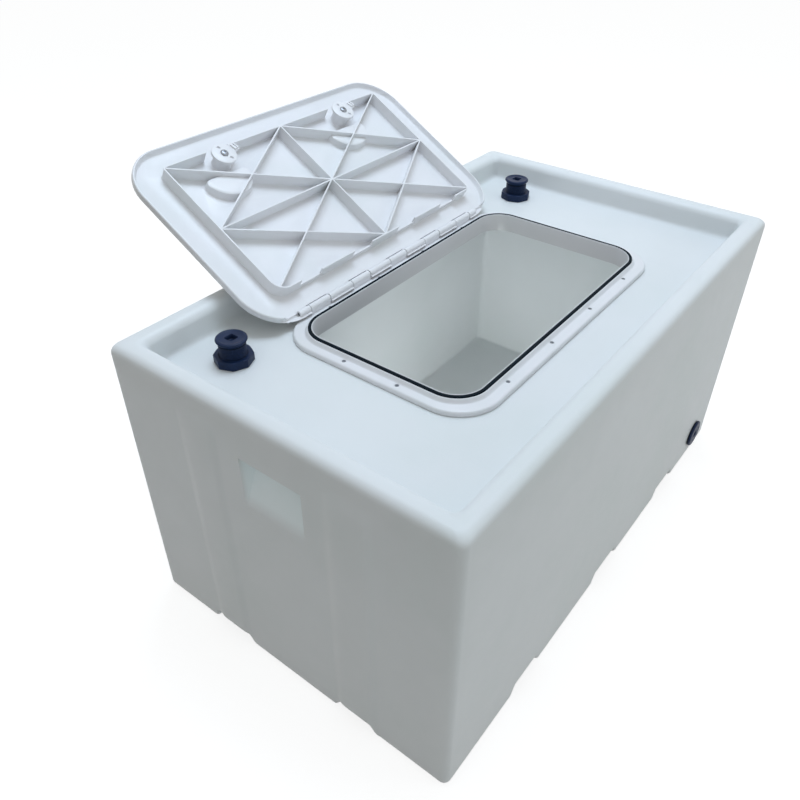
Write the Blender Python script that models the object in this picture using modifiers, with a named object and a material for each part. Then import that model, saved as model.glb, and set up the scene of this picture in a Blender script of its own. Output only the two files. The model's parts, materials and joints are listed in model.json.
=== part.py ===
"""Live fish transport box: a moulded tank with a recessed deck, a hinged service hatch with two turn
latches, two plugged deck ports and a drain port.

Metres, +Z up. The origin is the middle of the underside. +X runs along the length, +Y points to the
hatch's hinge side and -Y to its latch side. Left and right are as seen from the latch side. The hatch
lid stands open on its stop, with its latches unlocked.
"""

import math

import bmesh
import bpy
from mathutils import Matrix

# Tank
LENGTH = 1.000
WIDTH = 0.600
HEIGHT = 0.510
WALL = 0.010
CORNER_RADIUS = 0.012
RIM_WIDTH = 0.036
RIM_ROUND = 0.014
FOOT_ROUND = 0.012
DECK_DROP = 0.045
DECK_FILLET = 0.006
FLOOR_TOP = 0.024
FLOOR_FILLET = 0.005
DECK_Z = HEIGHT - DECK_DROP

# Grooves of the underside: middle and width at the mouth
GROOVE_DEPTH = 0.018
GROOVE_SLOPE = 0.014
CROSS_GROOVES = ((-0.2815, 0.090), (0.269, 0.100))
MIDDLE_NOTCH = (0.0005, 0.104)
LONG_GROOVES = ((-0.1335, 0.086), (0.1305, 0.098))

# Raised bands of the two end faces, over the long grooves: middle and width on the face
BANDS = ((-0.139, 0.074), (0.125, 0.070))
BAND_PROUD = 0.0035
BAND_SLOPE = 0.008
BAND_FOOT = 0.004
BAND_TOP = 0.474
BAND_END = 0.478
BAND_ROOT = 0.004
BAND_SUNK = 0.001

# Hand grips of the two end faces
GRIP_Y = -0.0085
GRIP_WIDTH = 0.110
GRIP_TOP = 0.437
GRIP_BOTTOM = 0.354
GRIP_DEPTH = 0.032
GRIP_BACK = 0.010

# Hatch frame, with heights above the deck
FLANGE_HALF = (0.2985, 0.178)
FLANGE_RADIUS = 0.068
FLANGE_TOP = 0.008
FLANGE_EDGE = 0.0022
LIP_TOP = 0.0145
INNER_LIP_TOP = 0.0165
SEAT = 0.006
SEAT_UNDER = 0.003
COLLAR_FOOT = -0.016
GASKET_HALF = (0.2767, 0.1527)
GASKET_RADIUS = 0.0487
GASKET_WIDTH = 0.0034
SEAT_WIDTH = 0.0040
LIP_WALL = 0.002
INNER_LIP_WALL = 0.0023
INNER_WALL = 0.0025
COLLAR_OFFSET = 0.0008
COLLAR_WALL = 0.0025
DECK_CUT_GAP = 0.001
KNUCKLE_FOOT_INSET = 0.0004
GASKET_SHOULDER = 0.0155
GASKET_CHAMFER = 0.0009

# Keeper windows of the latches in the frame's inner wall, with heights above the deck
KEEPER_HALF = 0.022
KEEPER_LOW = -0.0127
KEEPER_HIGH = -0.0034
KEEPER_INSET = 0.0002
KEEPER_REACH = 0.008

# Clearances: between touching pieces, round shafts and screws, round barrels, and under the shut lid
GAP = 0.0003
BORE_SLACK = 0.0004
BARREL_SLACK = 0.0007
LID_CLEARANCE = 0.0005

# How far a cutter runs out past what it cuts: a little, past a thin part, and past the whole lid
OVERCUT = 0.01
DEEP_CUT = 0.03
LID_CUT = (0.4, 0.3)

# Hinge
HINGE_Y = 0.176
HINGE_Z = DECK_Z + 0.0175
KNUCKLE_RADIUS = 0.0055
KNUCKLE_PITCH = 0.100
FRAME_KNUCKLE = 0.044
FOOT_HALF = 0.0051
LID_SLOT = 0.047
SLOT_DEPTH = 0.007
END_KNUCKLE = 0.022
PIN_RADIUS = 0.0025
BORE_RADIUS = 0.0029
OPEN_ANGLE = 150.0

# Hatch lid, closed: heights count from its underside, which is level with the hinge axis
LID_HALF = (0.315, 0.185)
LID_RADIUS = 0.075
LID_THICK = 0.0045
LID_ROUND = 0.004
LID_LIP = 0.009
LID_LIP_WALL = 0.0035
LIP_END_Y = 0.172
SKIRT_HALF = (0.2592, 0.1385)
SKIRT_RADIUS = 0.010
RIB_THICK = 0.0026
RIB_HEIGHT = 0.021
SKIRT_NOTCHES = (-0.187, -0.060, 0.060, 0.187)
NOTCH_WIDTH = 0.047
NOTCH_DEPTH = 0.012
STAGGER = 0.0002

# Latches, about their own axes
LATCH_X = 0.148
LATCH_Y = -0.1195
STEM_RADIUS = 0.0155
DISH_RADIUS = 0.0262
DISH_DEPTH = 0.002
SHAFT_RADIUS = 0.006
HANDLE_RADIUS = 0.0256
GRIP_BAR = (0.046, 0.010, 0.0078)
CAM_RADIUS = 0.0215
CAM_THICK = 0.005
CAM_REACH = 0.0325
CAM_TONGUE = 0.016
CAM_SQUARE = 0.0041
LATCH_REST = 77.0
CAM_SLACK = 0.0004
NUB_INSET = 0.002
NUB_HEIGHT = 0.0025
SEAL_SEAT_RADIUS = 0.0095
LATCH_SEAL = (0.0067, 0.0091)
MOUTH_HALF = 0.0245
LIFT_X = -0.016
LIFT_Y = -0.094
LIFT_RADIUS = 0.047
LIFT_WALL = 0.003
LIFT_DEPTH = 0.0105

# Flange screws
SCREW_HEAD = 0.004
SCREW_SHANK = 0.0021
SCREW_LENGTH = 0.020
SCREW_HOLE = 0.0026
SINK_DEPTH = 0.0026
SINK_OVER = 0.0004
SINK_SPREAD = 0.0012
LATCH_SCREW_SHANK = 0.002
LATCH_SCREW_HEAD = 0.0066
TAPPED_RADIUS = 0.0025
SHORT_SIDE_SCREWS = (0.2885, 0.048)
LONG_SIDE_SCREWS = (0.164, 0.062, 0.187)

# Ports of the deck and the drain, with a pipe thread of 11 turns to the inch
LEFT_PORT = (-0.376, 0.182)
RIGHT_PORT = (0.392, 0.169)
BARREL_RADIUS = 0.0203
BARREL_TOP = 0.030
THREAD_BORE = 0.0164
PLUG_SHANK = 0.016
PORT_FLANGE = 0.034
NUT_RADIUS = 0.0295
NUT_HEIGHT = 0.0132
NUT_SIDES = 8
PLUG_HEAD = 0.0233
PLUG_TOP = 0.040
SOCKET = 0.015
SOCKET_DEPTH = 0.008
O_RING = (0.0165, 0.020)
O_RING_THICK = 0.0016
PLUG_FOOT = 0.012
WASHER_THICK = 0.003
FLANGE_THICK = 0.006
DRAIN_X = 0.4075
DRAIN_Z = 0.058
DRAIN_FLANGE = 0.028
DRAIN_PROUD = 0.0068
DRAIN_SHOULDER = -0.0193
DRAIN_INNER_END = -0.030
DRAIN_SOCKET = 0.014
DRAIN_SEAL_TOP = 0.002
DRAIN_BORE = 0.011
DRAIN_O_RING = (0.0118, 0.0158)
DRAIN_O_RING_THICK = 0.0018
DRAIN_NUT_HEIGHT = 0.010

ROUND_STEPS = 32


def make_collection(name):
    made = bpy.data.collections.new(name)
    bpy.context.scene.collection.children.link(made)
    return made


def make_material(name, colour, roughness, metallic=0.0):
    made = bpy.data.materials.new(name)
    made.use_nodes = True
    shader = made.node_tree.nodes["Principled BSDF"]
    shader.inputs["Base Color"].default_value = (*colour, 1.0)
    shader.inputs["Roughness"].default_value = roughness
    shader.inputs["Metallic"].default_value = metallic
    return made


def add_object(name, mesh_edit, group):
    """Turns an edited mesh into an object of this collection."""
    mesh = bpy.data.meshes.new(name)
    mesh_edit.to_mesh(mesh)
    mesh_edit.free()
    made = bpy.data.objects.new(name, mesh)
    group.objects.link(made)
    return made


def add_empty(name, place, parent=None):
    made = bpy.data.objects.new(name, None)
    PARTS.objects.link(made)
    made.location = place
    made.parent = parent
    return made


def arc(centre, radius, start, end, steps):
    """Points (across, up) on an arc, with its angles in degrees."""
    points = []
    for step in range(steps + 1):
        angle = math.radians(start + (end - start) * step / steps)
        points.append((centre[0] + radius * math.cos(angle), centre[1] + radius * math.sin(angle)))
    return points


def rounded_rectangle(half_x, half_y, radius, steps):
    """Points of a rounded rectangle, anticlockwise."""
    points = []
    for sign_x, sign_y, start in ((1, 1, 0), (-1, 1, 90), (-1, -1, 180), (1, -1, 270)):
        centre = (sign_x * (half_x - radius), sign_y * (half_y - radius))
        points += arc(centre, radius, start, start + 90, steps)
    return points


def loft(name, loops, group, ring=False):
    """A skin over loops of as many points each, capped at both ends or closed into a ring."""
    edit = bmesh.new()
    rows = [[edit.verts.new(point) for point in loop] for loop in loops]
    pairs = list(zip(rows, rows[1:]))
    if ring:
        pairs.append((rows[-1], rows[0]))
    else:
        edit.faces.new(rows[0])
        edit.faces.new(rows[-1])
    for low, high in pairs:
        for i, corner in enumerate(low):
            j = (i + 1) % len(low)
            edit.faces.new((corner, low[j], high[j], high[i]))
    bmesh.ops.recalc_face_normals(edit, faces=edit.faces)
    return add_object(name, edit, group)


def rectangle_loops(rings, steps):
    """Loops for loft from rings of half length, half width, corner radius and height."""
    loops = []
    for half_x, half_y, radius, z in rings:
        loops.append([(x, y, z) for x, y in rounded_rectangle(half_x, half_y, radius, steps)])
    return loops


def block(name, low, high, group):
    """A box between two corners."""
    edit = bmesh.new()
    size = [high[i] - low[i] for i in range(3)]
    centre = [(high[i] + low[i]) / 2 for i in range(3)]
    bmesh.ops.create_cube(edit, size=1.0, matrix=Matrix.Translation(centre) @ Matrix.Diagonal((*size, 1.0)))
    return add_object(name, edit, group)


def bar(name, start, end, thick, low, high, group):
    """An upright bar of even thickness between two points of the plan."""
    along = math.atan2(end[1] - start[1], end[0] - start[0])
    length = math.dist(start, end)
    centre = ((start[0] + end[0]) / 2, (start[1] + end[1]) / 2, (low + high) / 2)
    place = Matrix.Translation(centre) @ Matrix.Rotation(along, 4, "Z")
    edit = bmesh.new()
    bmesh.ops.create_cube(edit, size=1.0, matrix=place @ Matrix.Diagonal((length, thick, high - low, 1.0)))
    return add_object(name, edit, group)


def cylinder(name, radius, low, high, group, sides=ROUND_STEPS, place=None):
    """A cylinder on the Z axis of a placing matrix."""
    edit = bmesh.new()
    middle = Matrix.Translation((0, 0, (low + high) / 2))
    where = (place or Matrix.Identity(4)) @ middle
    bmesh.ops.create_cone(
        edit, cap_ends=True, segments=sides, radius1=radius, radius2=radius, depth=high - low, matrix=where
    )
    return add_object(name, edit, group)


def prism(name, outline, axis, low, high, group):
    """A flat outline drawn out along an axis. Its points are (x, y), (x, z) or (y, z)."""
    curve = bpy.data.curves.new(name, "CURVE")
    curve.dimensions = "2D"
    curve.fill_mode = "BOTH"
    curve.extrude = (high - low) / 2
    spline = curve.splines.new("POLY")
    spline.points.add(len(outline) - 1)
    for point, (across, up) in zip(spline.points, outline):
        point.co = (across, up, 0.0, 1.0)
    spline.use_cyclic_u = True
    drawn = bpy.data.objects.new(name + "_outline", curve)
    group.objects.link(drawn)
    turn = {"X": Matrix(((0, 0, 1), (1, 0, 0), (0, 1, 0))), "Y": Matrix(((1, 0, 0), (0, 0, -1), (0, 1, 0)))}
    shift = {"X": (1, 0, 0), "Y": (0, 1, 0), "Z": (0, 0, 1)}[axis]
    middle = Matrix.Translation([(low + high) / 2 * part for part in shift])
    drawn.matrix_world = middle @ (turn[axis].to_4x4() if axis in turn else Matrix.Identity(4))
    bpy.context.view_layer.update()
    seen = drawn.evaluated_get(bpy.context.evaluated_depsgraph_get())
    mesh = bpy.data.meshes.new_from_object(seen)
    edit = bmesh.new()
    edit.from_mesh(mesh)
    bmesh.ops.remove_doubles(edit, verts=edit.verts, dist=0.00001)
    bmesh.ops.recalc_face_normals(edit, faces=edit.faces)
    made = add_object(name, edit, group)
    made.matrix_world = drawn.matrix_world
    bpy.data.objects.remove(drawn)
    bpy.data.meshes.remove(mesh)
    return made


def turned(name, profile, group, steps=ROUND_STEPS, closed=True):
    """A profile of (radius, height) turned about Z. It runs down its outer side."""
    edit = bmesh.new()
    points = [edit.verts.new((radius, 0.0, height)) for radius, height in profile]
    for first, second in zip(points, points[1:]):
        edit.edges.new((first, second))
    if closed:
        edit.edges.new((points[-1], points[0]))
    made = add_object(name, edit, group)
    screw = made.modifiers.new("Turn", "SCREW")
    screw.steps = steps
    screw.render_steps = steps
    screw.use_merge_vertices = True
    screw.merge_threshold = 0.00001
    return made


def combine(target, others, operation):
    """Joins or cuts with one Boolean for each of the others."""
    for other in others:
        modifier = target.modifiers.new(operation.title(), "BOOLEAN")
        modifier.operation = operation
        modifier.object = other
        other.hide_render = True
        other.display_type = "WIRE"


def bake(target):
    """Replaces an object's mesh by the one its modifiers make."""
    bpy.context.view_layer.update()
    seen = target.evaluated_get(bpy.context.evaluated_depsgraph_get())
    mesh = bpy.data.meshes.new_from_object(seen)
    target.modifiers.clear()
    target.data = mesh


def dress(target, material, parent=None, smooth_angle=35.0):
    """Gives a part its material, its shading and the empty that carries it."""
    if target.modifiers:
        bake(target)
    target.data.name = target.name
    target.data.materials.clear()
    target.data.materials.append(material)
    target.data.shade_smooth()
    target.data.set_sharp_from_angle(angle=math.radians(smooth_angle))
    target.parent = parent
    return target


def tank_loops():
    """The tank's skin: underside, outer wall, rim, deck, hatch opening, then back down the inside."""
    inner_rim = RIM_WIDTH - WALL
    skin = arc((-FOOT_ROUND, FOOT_ROUND), FOOT_ROUND, -90, 0, 3)
    skin += arc((-RIM_ROUND, HEIGHT - RIM_ROUND), RIM_ROUND, 0, 90, 4)
    skin += arc((-RIM_WIDTH + RIM_ROUND, HEIGHT - RIM_ROUND), RIM_ROUND, 90, 180, 4)
    skin += arc((-RIM_WIDTH - DECK_FILLET, DECK_Z + DECK_FILLET), DECK_FILLET, 0, -90, 2)
    inside = [(-inner_rim, DECK_Z - WALL), (-inner_rim, HEIGHT - WALL), (-WALL, HEIGHT - WALL)]
    inside += arc((-WALL - FLOOR_FILLET, FLOOR_TOP + FLOOR_FILLET), FLOOR_FILLET, 0, -90, 3)

    def ring(across, z):
        return (LENGTH / 2 + across, WIDTH / 2 + across, CORNER_RADIUS, z)

    half_x, half_y, radius = deck_opening()
    rings = [ring(across, z) for across, z in skin]
    rings += [(half_x, half_y, radius, DECK_Z), (half_x, half_y, radius, DECK_Z - WALL)]
    rings += [ring(across, z) for across, z in inside]
    return rectangle_loops(rings, 5)


def collar_outer():
    """Half sizes and corner radius of the collar's outer face."""
    out = COLLAR_OFFSET + COLLAR_WALL
    return (GASKET_HALF[0] + out, GASKET_HALF[1] + out, GASKET_RADIUS + out)


def deck_opening():
    return tuple(value + DECK_CUT_GAP for value in collar_outer())


def trapezium(middle, width, depth, slope, over):
    """A groove's section, wider at its mouth at height 0 and drawn out below it."""
    half = width / 2
    flare = slope * over / depth
    return [
        (middle - half - flare, -over),
        (middle + half + flare, -over),
        (middle + half - slope, depth),
        (middle - half + slope, depth),
    ]


def groove_tools():
    """The cutters of the underside's grooves."""
    across = WIDTH / 2 + OVERCUT
    along = LENGTH / 2 + OVERCUT
    notch_end = min(abs(middle) for middle, _ in LONG_GROOVES)
    runs = [("cross", groove, "Y", -across, across) for groove in CROSS_GROOVES]
    runs.append(("notch_front", MIDDLE_NOTCH, "Y", -across, -notch_end))
    runs.append(("notch_back", MIDDLE_NOTCH, "Y", notch_end, across))
    runs += [("long", groove, "X", -along, along) for groove in LONG_GROOVES]
    made = []
    for name, (middle, width), axis, low, high in runs:
        outline = trapezium(middle, width, GROOVE_DEPTH, GROOVE_SLOPE, OVERCUT)
        made.append(prism(name + "_groove", outline, axis, low, high, CUTTERS))
    return made


def grip_tools(side):
    """The shell that a hand grip raises inside, and the wedge that cuts it from outside."""
    face = LENGTH / 2
    slope = (GRIP_TOP - GRIP_BACK - GRIP_BOTTOM) / GRIP_DEPTH
    half = GRIP_WIDTH / 2
    wedge = [
        (side * (face + OVERCUT), GRIP_TOP),
        (side * (face - GRIP_DEPTH), GRIP_TOP),
        (side * (face - GRIP_DEPTH), GRIP_TOP - GRIP_BACK),
        (side * (face + OVERCUT), GRIP_BOTTOM - OVERCUT * slope),
    ]
    shell = [
        (side * (face - WALL / 2), GRIP_TOP + WALL),
        (side * (face - GRIP_DEPTH - WALL), GRIP_TOP + WALL),
        (side * (face - GRIP_DEPTH - WALL), GRIP_TOP - GRIP_BACK - WALL / 2),
        (side * (face - WALL / 2), GRIP_BOTTOM - WALL * 1.5),
    ]
    tag = "left" if side < 0 else "right"
    raised = prism(
        tag + "_grip_shell", shell, "Y", GRIP_Y - half - WALL, GRIP_Y + half + WALL, CUTTERS
    )
    cut = prism(tag + "_grip_cut", wedge, "Y", GRIP_Y - half, GRIP_Y + half, CUTTERS)
    return raised, cut


def band(side, middle, width):
    """A raised band of an end face, rooted in the wall, with sloped sides and a sloped top end."""
    face = LENGTH / 2
    loops = []
    for z, proud in ((BAND_FOOT, BAND_PROUD), (BAND_TOP, BAND_PROUD), (BAND_END, -BAND_SUNK)):
        loop = []
        for out, sign in ((-BAND_ROOT, -1), (-BAND_ROOT, 1), (proud, 1), (proud, -1)):
            half = width / 2 - BAND_SLOPE * out / BAND_PROUD
            loop.append((side * (face + out), middle + sign * half, z))
        loops.append(loop)
    return loft("band", loops, CUTTERS)


def screw_places():
    """The plan positions of the flange screws."""
    end_x, end_y = SHORT_SIDE_SCREWS
    side_y, near_x, far_x = LONG_SIDE_SCREWS
    places = [(sx * end_x, sy * end_y) for sx in (-1, 1) for sy in (-1, 1)]
    places += [(x, sy * side_y) for sy in (-1, 1) for x in (-far_x, -near_x, near_x, far_x)]
    return places


def screw_hole_tool(name, low_radius, high_radius, low, high):
    """One cutter for the same stretch of every flange screw's hole."""
    edit = bmesh.new()
    for x, y in screw_places():
        bmesh.ops.create_cone(
            edit,
            cap_ends=True,
            segments=12,
            radius1=low_radius,
            radius2=high_radius,
            depth=high - low,
            matrix=Matrix.Translation((x, y, (low + high) / 2)),
        )
    return add_object(name, edit, CUTTERS)


def build_tank():
    tank = loft("tank_body", tank_loops(), PARTS)
    hole = BARREL_RADIUS + BARREL_SLACK
    foot = -WALL - OVERCUT
    places = [Matrix.Translation((x, y, DECK_Z)) for x, y in (LEFT_PORT, RIGHT_PORT)]
    places.append(drain_place())
    cuts = [cylinder("port_hole", hole, foot, OVERCUT, CUTTERS, place=place) for place in places]
    low = DECK_Z + foot
    cuts.append(screw_hole_tool("deck_screw_holes", SCREW_HOLE, SCREW_HOLE, low, DECK_Z + OVERCUT))
    grips = [grip_tools(side) for side in (-1, 1)]
    bands = [band(side, *place) for side in (-1, 1) for place in BANDS]
    combine(tank, bands + [raised for raised, _ in grips], "UNION")
    combine(tank, cuts, "DIFFERENCE")
    combine(tank, [cut for _, cut in grips], "DIFFERENCE")
    combine(tank, groove_tools(), "DIFFERENCE")
    return dress(tank, TANK_PLASTIC)


def offset_ring(out, z):
    """A ring at a distance outside the gasket's centre line, at a height above the deck."""
    return (GASKET_HALF[0] + out, GASKET_HALF[1] + out, GASKET_RADIUS + out, DECK_Z + z)


def frame_knuckle_centres():
    return [KNUCKLE_PITCH * count for count in range(-2, 3)]


def along_x(x, y, z):
    """A placing matrix whose Z axis runs along X."""
    return Matrix.Translation((x, y, z)) @ Matrix.Rotation(math.radians(90), 4, "Y")


def hinge_bore(name):
    place = along_x(0, HINGE_Y, HINGE_Z)
    return cylinder(name, BORE_RADIUS, -0.3, 0.3, CUTTERS, 16, place)


def build_frame():
    half_seat = SEAT_WIDTH / 2
    inner = -half_seat - INNER_LIP_WALL
    flange_x, flange_y = FLANGE_HALF
    foot = DECK_Z + GAP
    top = DECK_Z + FLANGE_TOP
    rings = [
        (flange_x, flange_y, FLANGE_RADIUS, foot),
        (flange_x, flange_y, FLANGE_RADIUS, top - FLANGE_EDGE),
        (flange_x - FLANGE_EDGE, flange_y - FLANGE_EDGE, FLANGE_RADIUS - FLANGE_EDGE, top),
        offset_ring(half_seat + LIP_WALL, FLANGE_TOP),
        offset_ring(half_seat + LIP_WALL, LIP_TOP),
        offset_ring(half_seat, LIP_TOP),
        offset_ring(half_seat, SEAT),
        offset_ring(-half_seat, SEAT),
        offset_ring(-half_seat, INNER_LIP_TOP),
        offset_ring(inner, INNER_LIP_TOP),
        offset_ring(inner, COLLAR_FOOT),
        offset_ring(inner + INNER_WALL, COLLAR_FOOT),
        offset_ring(inner + INNER_WALL, SEAT_UNDER),
        offset_ring(COLLAR_OFFSET, SEAT_UNDER),
        offset_ring(COLLAR_OFFSET, COLLAR_FOOT),
        offset_ring(COLLAR_OFFSET + COLLAR_WALL, COLLAR_FOOT),
        offset_ring(COLLAR_OFFSET + COLLAR_WALL, GAP),
    ]
    frame = loft("hatch_frame", rectangle_loops(rings, 8), PARTS, ring=True)
    knuckles = []
    for x in frame_knuckle_centres():
        half = FRAME_KNUCKLE / 2
        place = along_x(x, HINGE_Y, HINGE_Z)
        barrel = cylinder("frame_knuckle", KNUCKLE_RADIUS, -half, half, CUTTERS, 24, place)
        inset = half - KNUCKLE_FOOT_INSET
        low = (x - inset, HINGE_Y - FOOT_HALF, DECK_Z + FLANGE_TOP / 5)
        high = (x + inset, HINGE_Y + FOOT_HALF, HINGE_Z)
        knuckles += [barrel, block("knuckle_foot", low, high, CUTTERS)]
    combine(frame, knuckles, "UNION")
    holes = screw_hole_tool("frame_screw_holes", SCREW_HOLE, SCREW_HOLE, foot - OVERCUT, top + OVERCUT)
    wide = SCREW_HEAD + SINK_SPREAD
    narrow = SCREW_HOLE - 0.0001
    sinks = screw_hole_tool("frame_sinks", narrow, wide, top - SINK_DEPTH, top + SINK_OVER)
    windows = []
    for x in (-LATCH_X, LATCH_X):
        outer = -GASKET_HALF[1] - COLLAR_OFFSET + KEEPER_INSET
        low = (x - KEEPER_HALF, outer, DECK_Z + KEEPER_LOW)
        high = (x + KEEPER_HALF, -GASKET_HALF[1] - inner + KEEPER_REACH, DECK_Z + KEEPER_HIGH)
        windows.append(block("keeper_window", low, high, CUTTERS))
    combine(frame, [hinge_bore("frame_bore"), holes, sinks] + windows, "DIFFERENCE")
    return dress(frame, HATCH_PLASTIC)


def build_gasket():
    half = GASKET_WIDTH / 2
    crest = half - GASKET_CHAMFER
    foot = SEAT + GAP
    crown = HINGE_Z - DECK_Z - LID_CLEARANCE
    rings = [
        offset_ring(half, foot),
        offset_ring(half, GASKET_SHOULDER),
        offset_ring(crest, crown),
        offset_ring(-crest, crown),
        offset_ring(-half, GASKET_SHOULDER),
        offset_ring(-half, foot),
    ]
    gasket = loft("hatch_gasket", rectangle_loops(rings, 8), PARTS, ring=True)
    return dress(gasket, BLACK_RUBBER)


def lid_panel():
    """The lid's skin, closed, with a turned-down lip all round."""
    half_x, half_y = LID_HALF
    under = HINGE_Z
    rings = [
        (half_x + across, half_y + across, LID_RADIUS + across, z)
        for across, z in reversed(
            arc((-LID_ROUND, under + LID_THICK - LID_ROUND), LID_ROUND, 0, 90, 4)
        )
    ]
    for across, z in ((0.0, -LID_LIP), (-LID_LIP_WALL, -LID_LIP), (-LID_LIP_WALL, 0.0)):
        rings.append((half_x + across, half_y + across, LID_RADIUS + across, under + z))
    return loft("hatch_lid", rectangle_loops(rings, 8), PARTS)


def lid_ribs():
    """Skirt, ribs and latch stems of the underside, drawn too long for one level cut."""
    under = HINGE_Z
    low = under - RIB_HEIGHT
    high = under + LID_THICK / 2
    half_x, half_y = SKIRT_HALF
    thick = RIB_THICK
    rings = []
    for across, z in ((0, low - STAGGER), (0, high), (-thick, high), (-thick, low - STAGGER)):
        rings.append((half_x + across, half_y + across, SKIRT_RADIUS + across, z))
    pieces = [loft("skirt", rectangle_loops(rings, 5), CUTTERS, ring=True)]
    mid_x = half_x - thick / 2
    mid_y = half_y - thick / 2
    inset = SKIRT_RADIUS * (1 - math.sqrt(0.5))
    corner = (mid_x - inset, mid_y - inset)
    lines = [((-mid_x, 0), (mid_x, 0)), ((0, -mid_y), (0, mid_y))]
    lines += [((-corner[0], -corner[1]), corner), ((-corner[0], corner[1]), (corner[0], -corner[1]))]
    lines += [((sx * mid_x, 0), (0, sy * mid_y)) for sx in (-1, 1) for sy in (-1, 1)]
    for count, (start, end) in enumerate(lines):
        more = STAGGER * (count + 2)
        pieces.append(bar("rib", start, end, thick, low - more, high - more / 4, CUTTERS))
    for x in (-LATCH_X, LATCH_X):
        place = Matrix.Translation((x, LATCH_Y, under))
        foot = -RIB_HEIGHT - LID_THICK
        pieces.append(cylinder("stem", STEM_RADIUS, foot, LID_THICK * 2 / 3, CUTTERS, place=place))
    return pieces


def half_disc(centre_x, centre_y, radius):
    """Outline of a half disc whose straight side faces -Y."""
    return arc((centre_x, centre_y), radius, 0, 180, 16)


def build_lid(hinge):
    lid = lid_panel()
    under = HINGE_Z
    show = HINGE_Z + LID_THICK
    joined = lid_ribs()
    past_x, past_y = LID_CUT
    low = (-past_x, -past_y, under - DEEP_CUT)
    cuts = [block("rib_level", low, (past_x, past_y, under - RIB_HEIGHT), CUTTERS)]
    for x in (-LATCH_X, LATCH_X):
        place = Matrix.Translation((x, LATCH_Y, under))
        lift = half_disc(x + LIFT_X, LIFT_Y, LIFT_RADIUS)
        hollow = half_disc(x + LIFT_X, LIFT_Y + LIFT_WALL, LIFT_RADIUS - 2 * LIFT_WALL)
        deep = under - LIFT_DEPTH
        joined.append(prism("lift_boss", lift, "Z", deep - LIFT_WALL, show - 0.001, CUTTERS))
        cuts.append(prism("lift_hollow", hollow, "Z", deep, show + OVERCUT, CUTTERS))
        over = LID_THICK + OVERCUT
        for name, radius, foot in (
            ("dish", DISH_RADIUS, LID_THICK - DISH_DEPTH),
            ("seal_seat", SEAL_SEAT_RADIUS, 0.0003),
            ("shaft_bore", SHAFT_RADIUS + BORE_SLACK, -DEEP_CUT),
        ):
            cuts.append(cylinder(name, radius, foot, over, CUTTERS, place=place))
        inside = MOUTH_HALF - RIB_THICK / 2
        low = (x - inside, -SKIRT_HALF[1] - RIB_THICK, under - DEEP_CUT)
        high = (x + inside, -SKIRT_HALF[1] + RIB_THICK + BORE_SLACK, under - STAGGER)
        cuts.append(block("latch_mouth", low, high, CUTTERS))
    low = (-past_x, LIP_END_Y, under - DEEP_CUT)
    cuts.append(block("lip_end", low, (past_x, past_y, under), CUTTERS))
    for x in SKIRT_NOTCHES:
        low = (x - NOTCH_WIDTH / 2, SKIRT_HALF[1] - 1.5 * RIB_THICK, under - DEEP_CUT)
        high = (x + NOTCH_WIDTH / 2, SKIRT_HALF[1] + RIB_THICK / 2, under - RIB_HEIGHT + NOTCH_DEPTH)
        cuts.append(block("skirt_notch", low, high, CUTTERS))
    knuckles = []
    last = 2 * KNUCKLE_PITCH + LID_SLOT / 2
    tabs = [(x + LID_SLOT / 2, x + KNUCKLE_PITCH - LID_SLOT / 2) for x in frame_knuckle_centres()[:-1]]
    tabs += [(-last - END_KNUCKLE, -last), (last, last + END_KNUCKLE)]
    for start, end in tabs:
        place = along_x((start + end) / 2, HINGE_Y, HINGE_Z)
        half = (end - start) / 2 + 0.0005
        knuckles.append(cylinder("lid_knuckle", KNUCKLE_RADIUS, -half, half, CUTTERS, 24, place))
    slots = []
    for x in frame_knuckle_centres():
        low = (x - LID_SLOT / 2, HINGE_Y - SLOT_DEPTH, under - DEEP_CUT)
        slots.append(block("lid_slot", low, (x + LID_SLOT / 2, past_y, under + DEEP_CUT), CUTTERS))
    combine(lid, joined, "UNION")
    combine(lid, cuts, "DIFFERENCE")
    combine(lid, knuckles, "UNION")
    combine(lid, slots + [hinge_bore("lid_bore")], "DIFFERENCE")
    bake(lid)
    lid.data.transform(Matrix.Translation((0, -HINGE_Y, -HINGE_Z)))
    return dress(lid, HATCH_PLASTIC, hinge)


def build_hinge_pin():
    half = 2 * KNUCKLE_PITCH + LID_SLOT / 2 + END_KNUCKLE
    edit = bmesh.new()
    bmesh.ops.create_cone(
        edit,
        cap_ends=True,
        segments=16,
        radius1=PIN_RADIUS,
        radius2=PIN_RADIUS,
        depth=2 * half,
        matrix=Matrix.Rotation(math.radians(90), 4, "Y"),
    )
    pin = add_object("hinge_pin", edit, PARTS)
    pin.location = (0, HINGE_Y, HINGE_Z)
    return dress(pin, STEEL)


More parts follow.
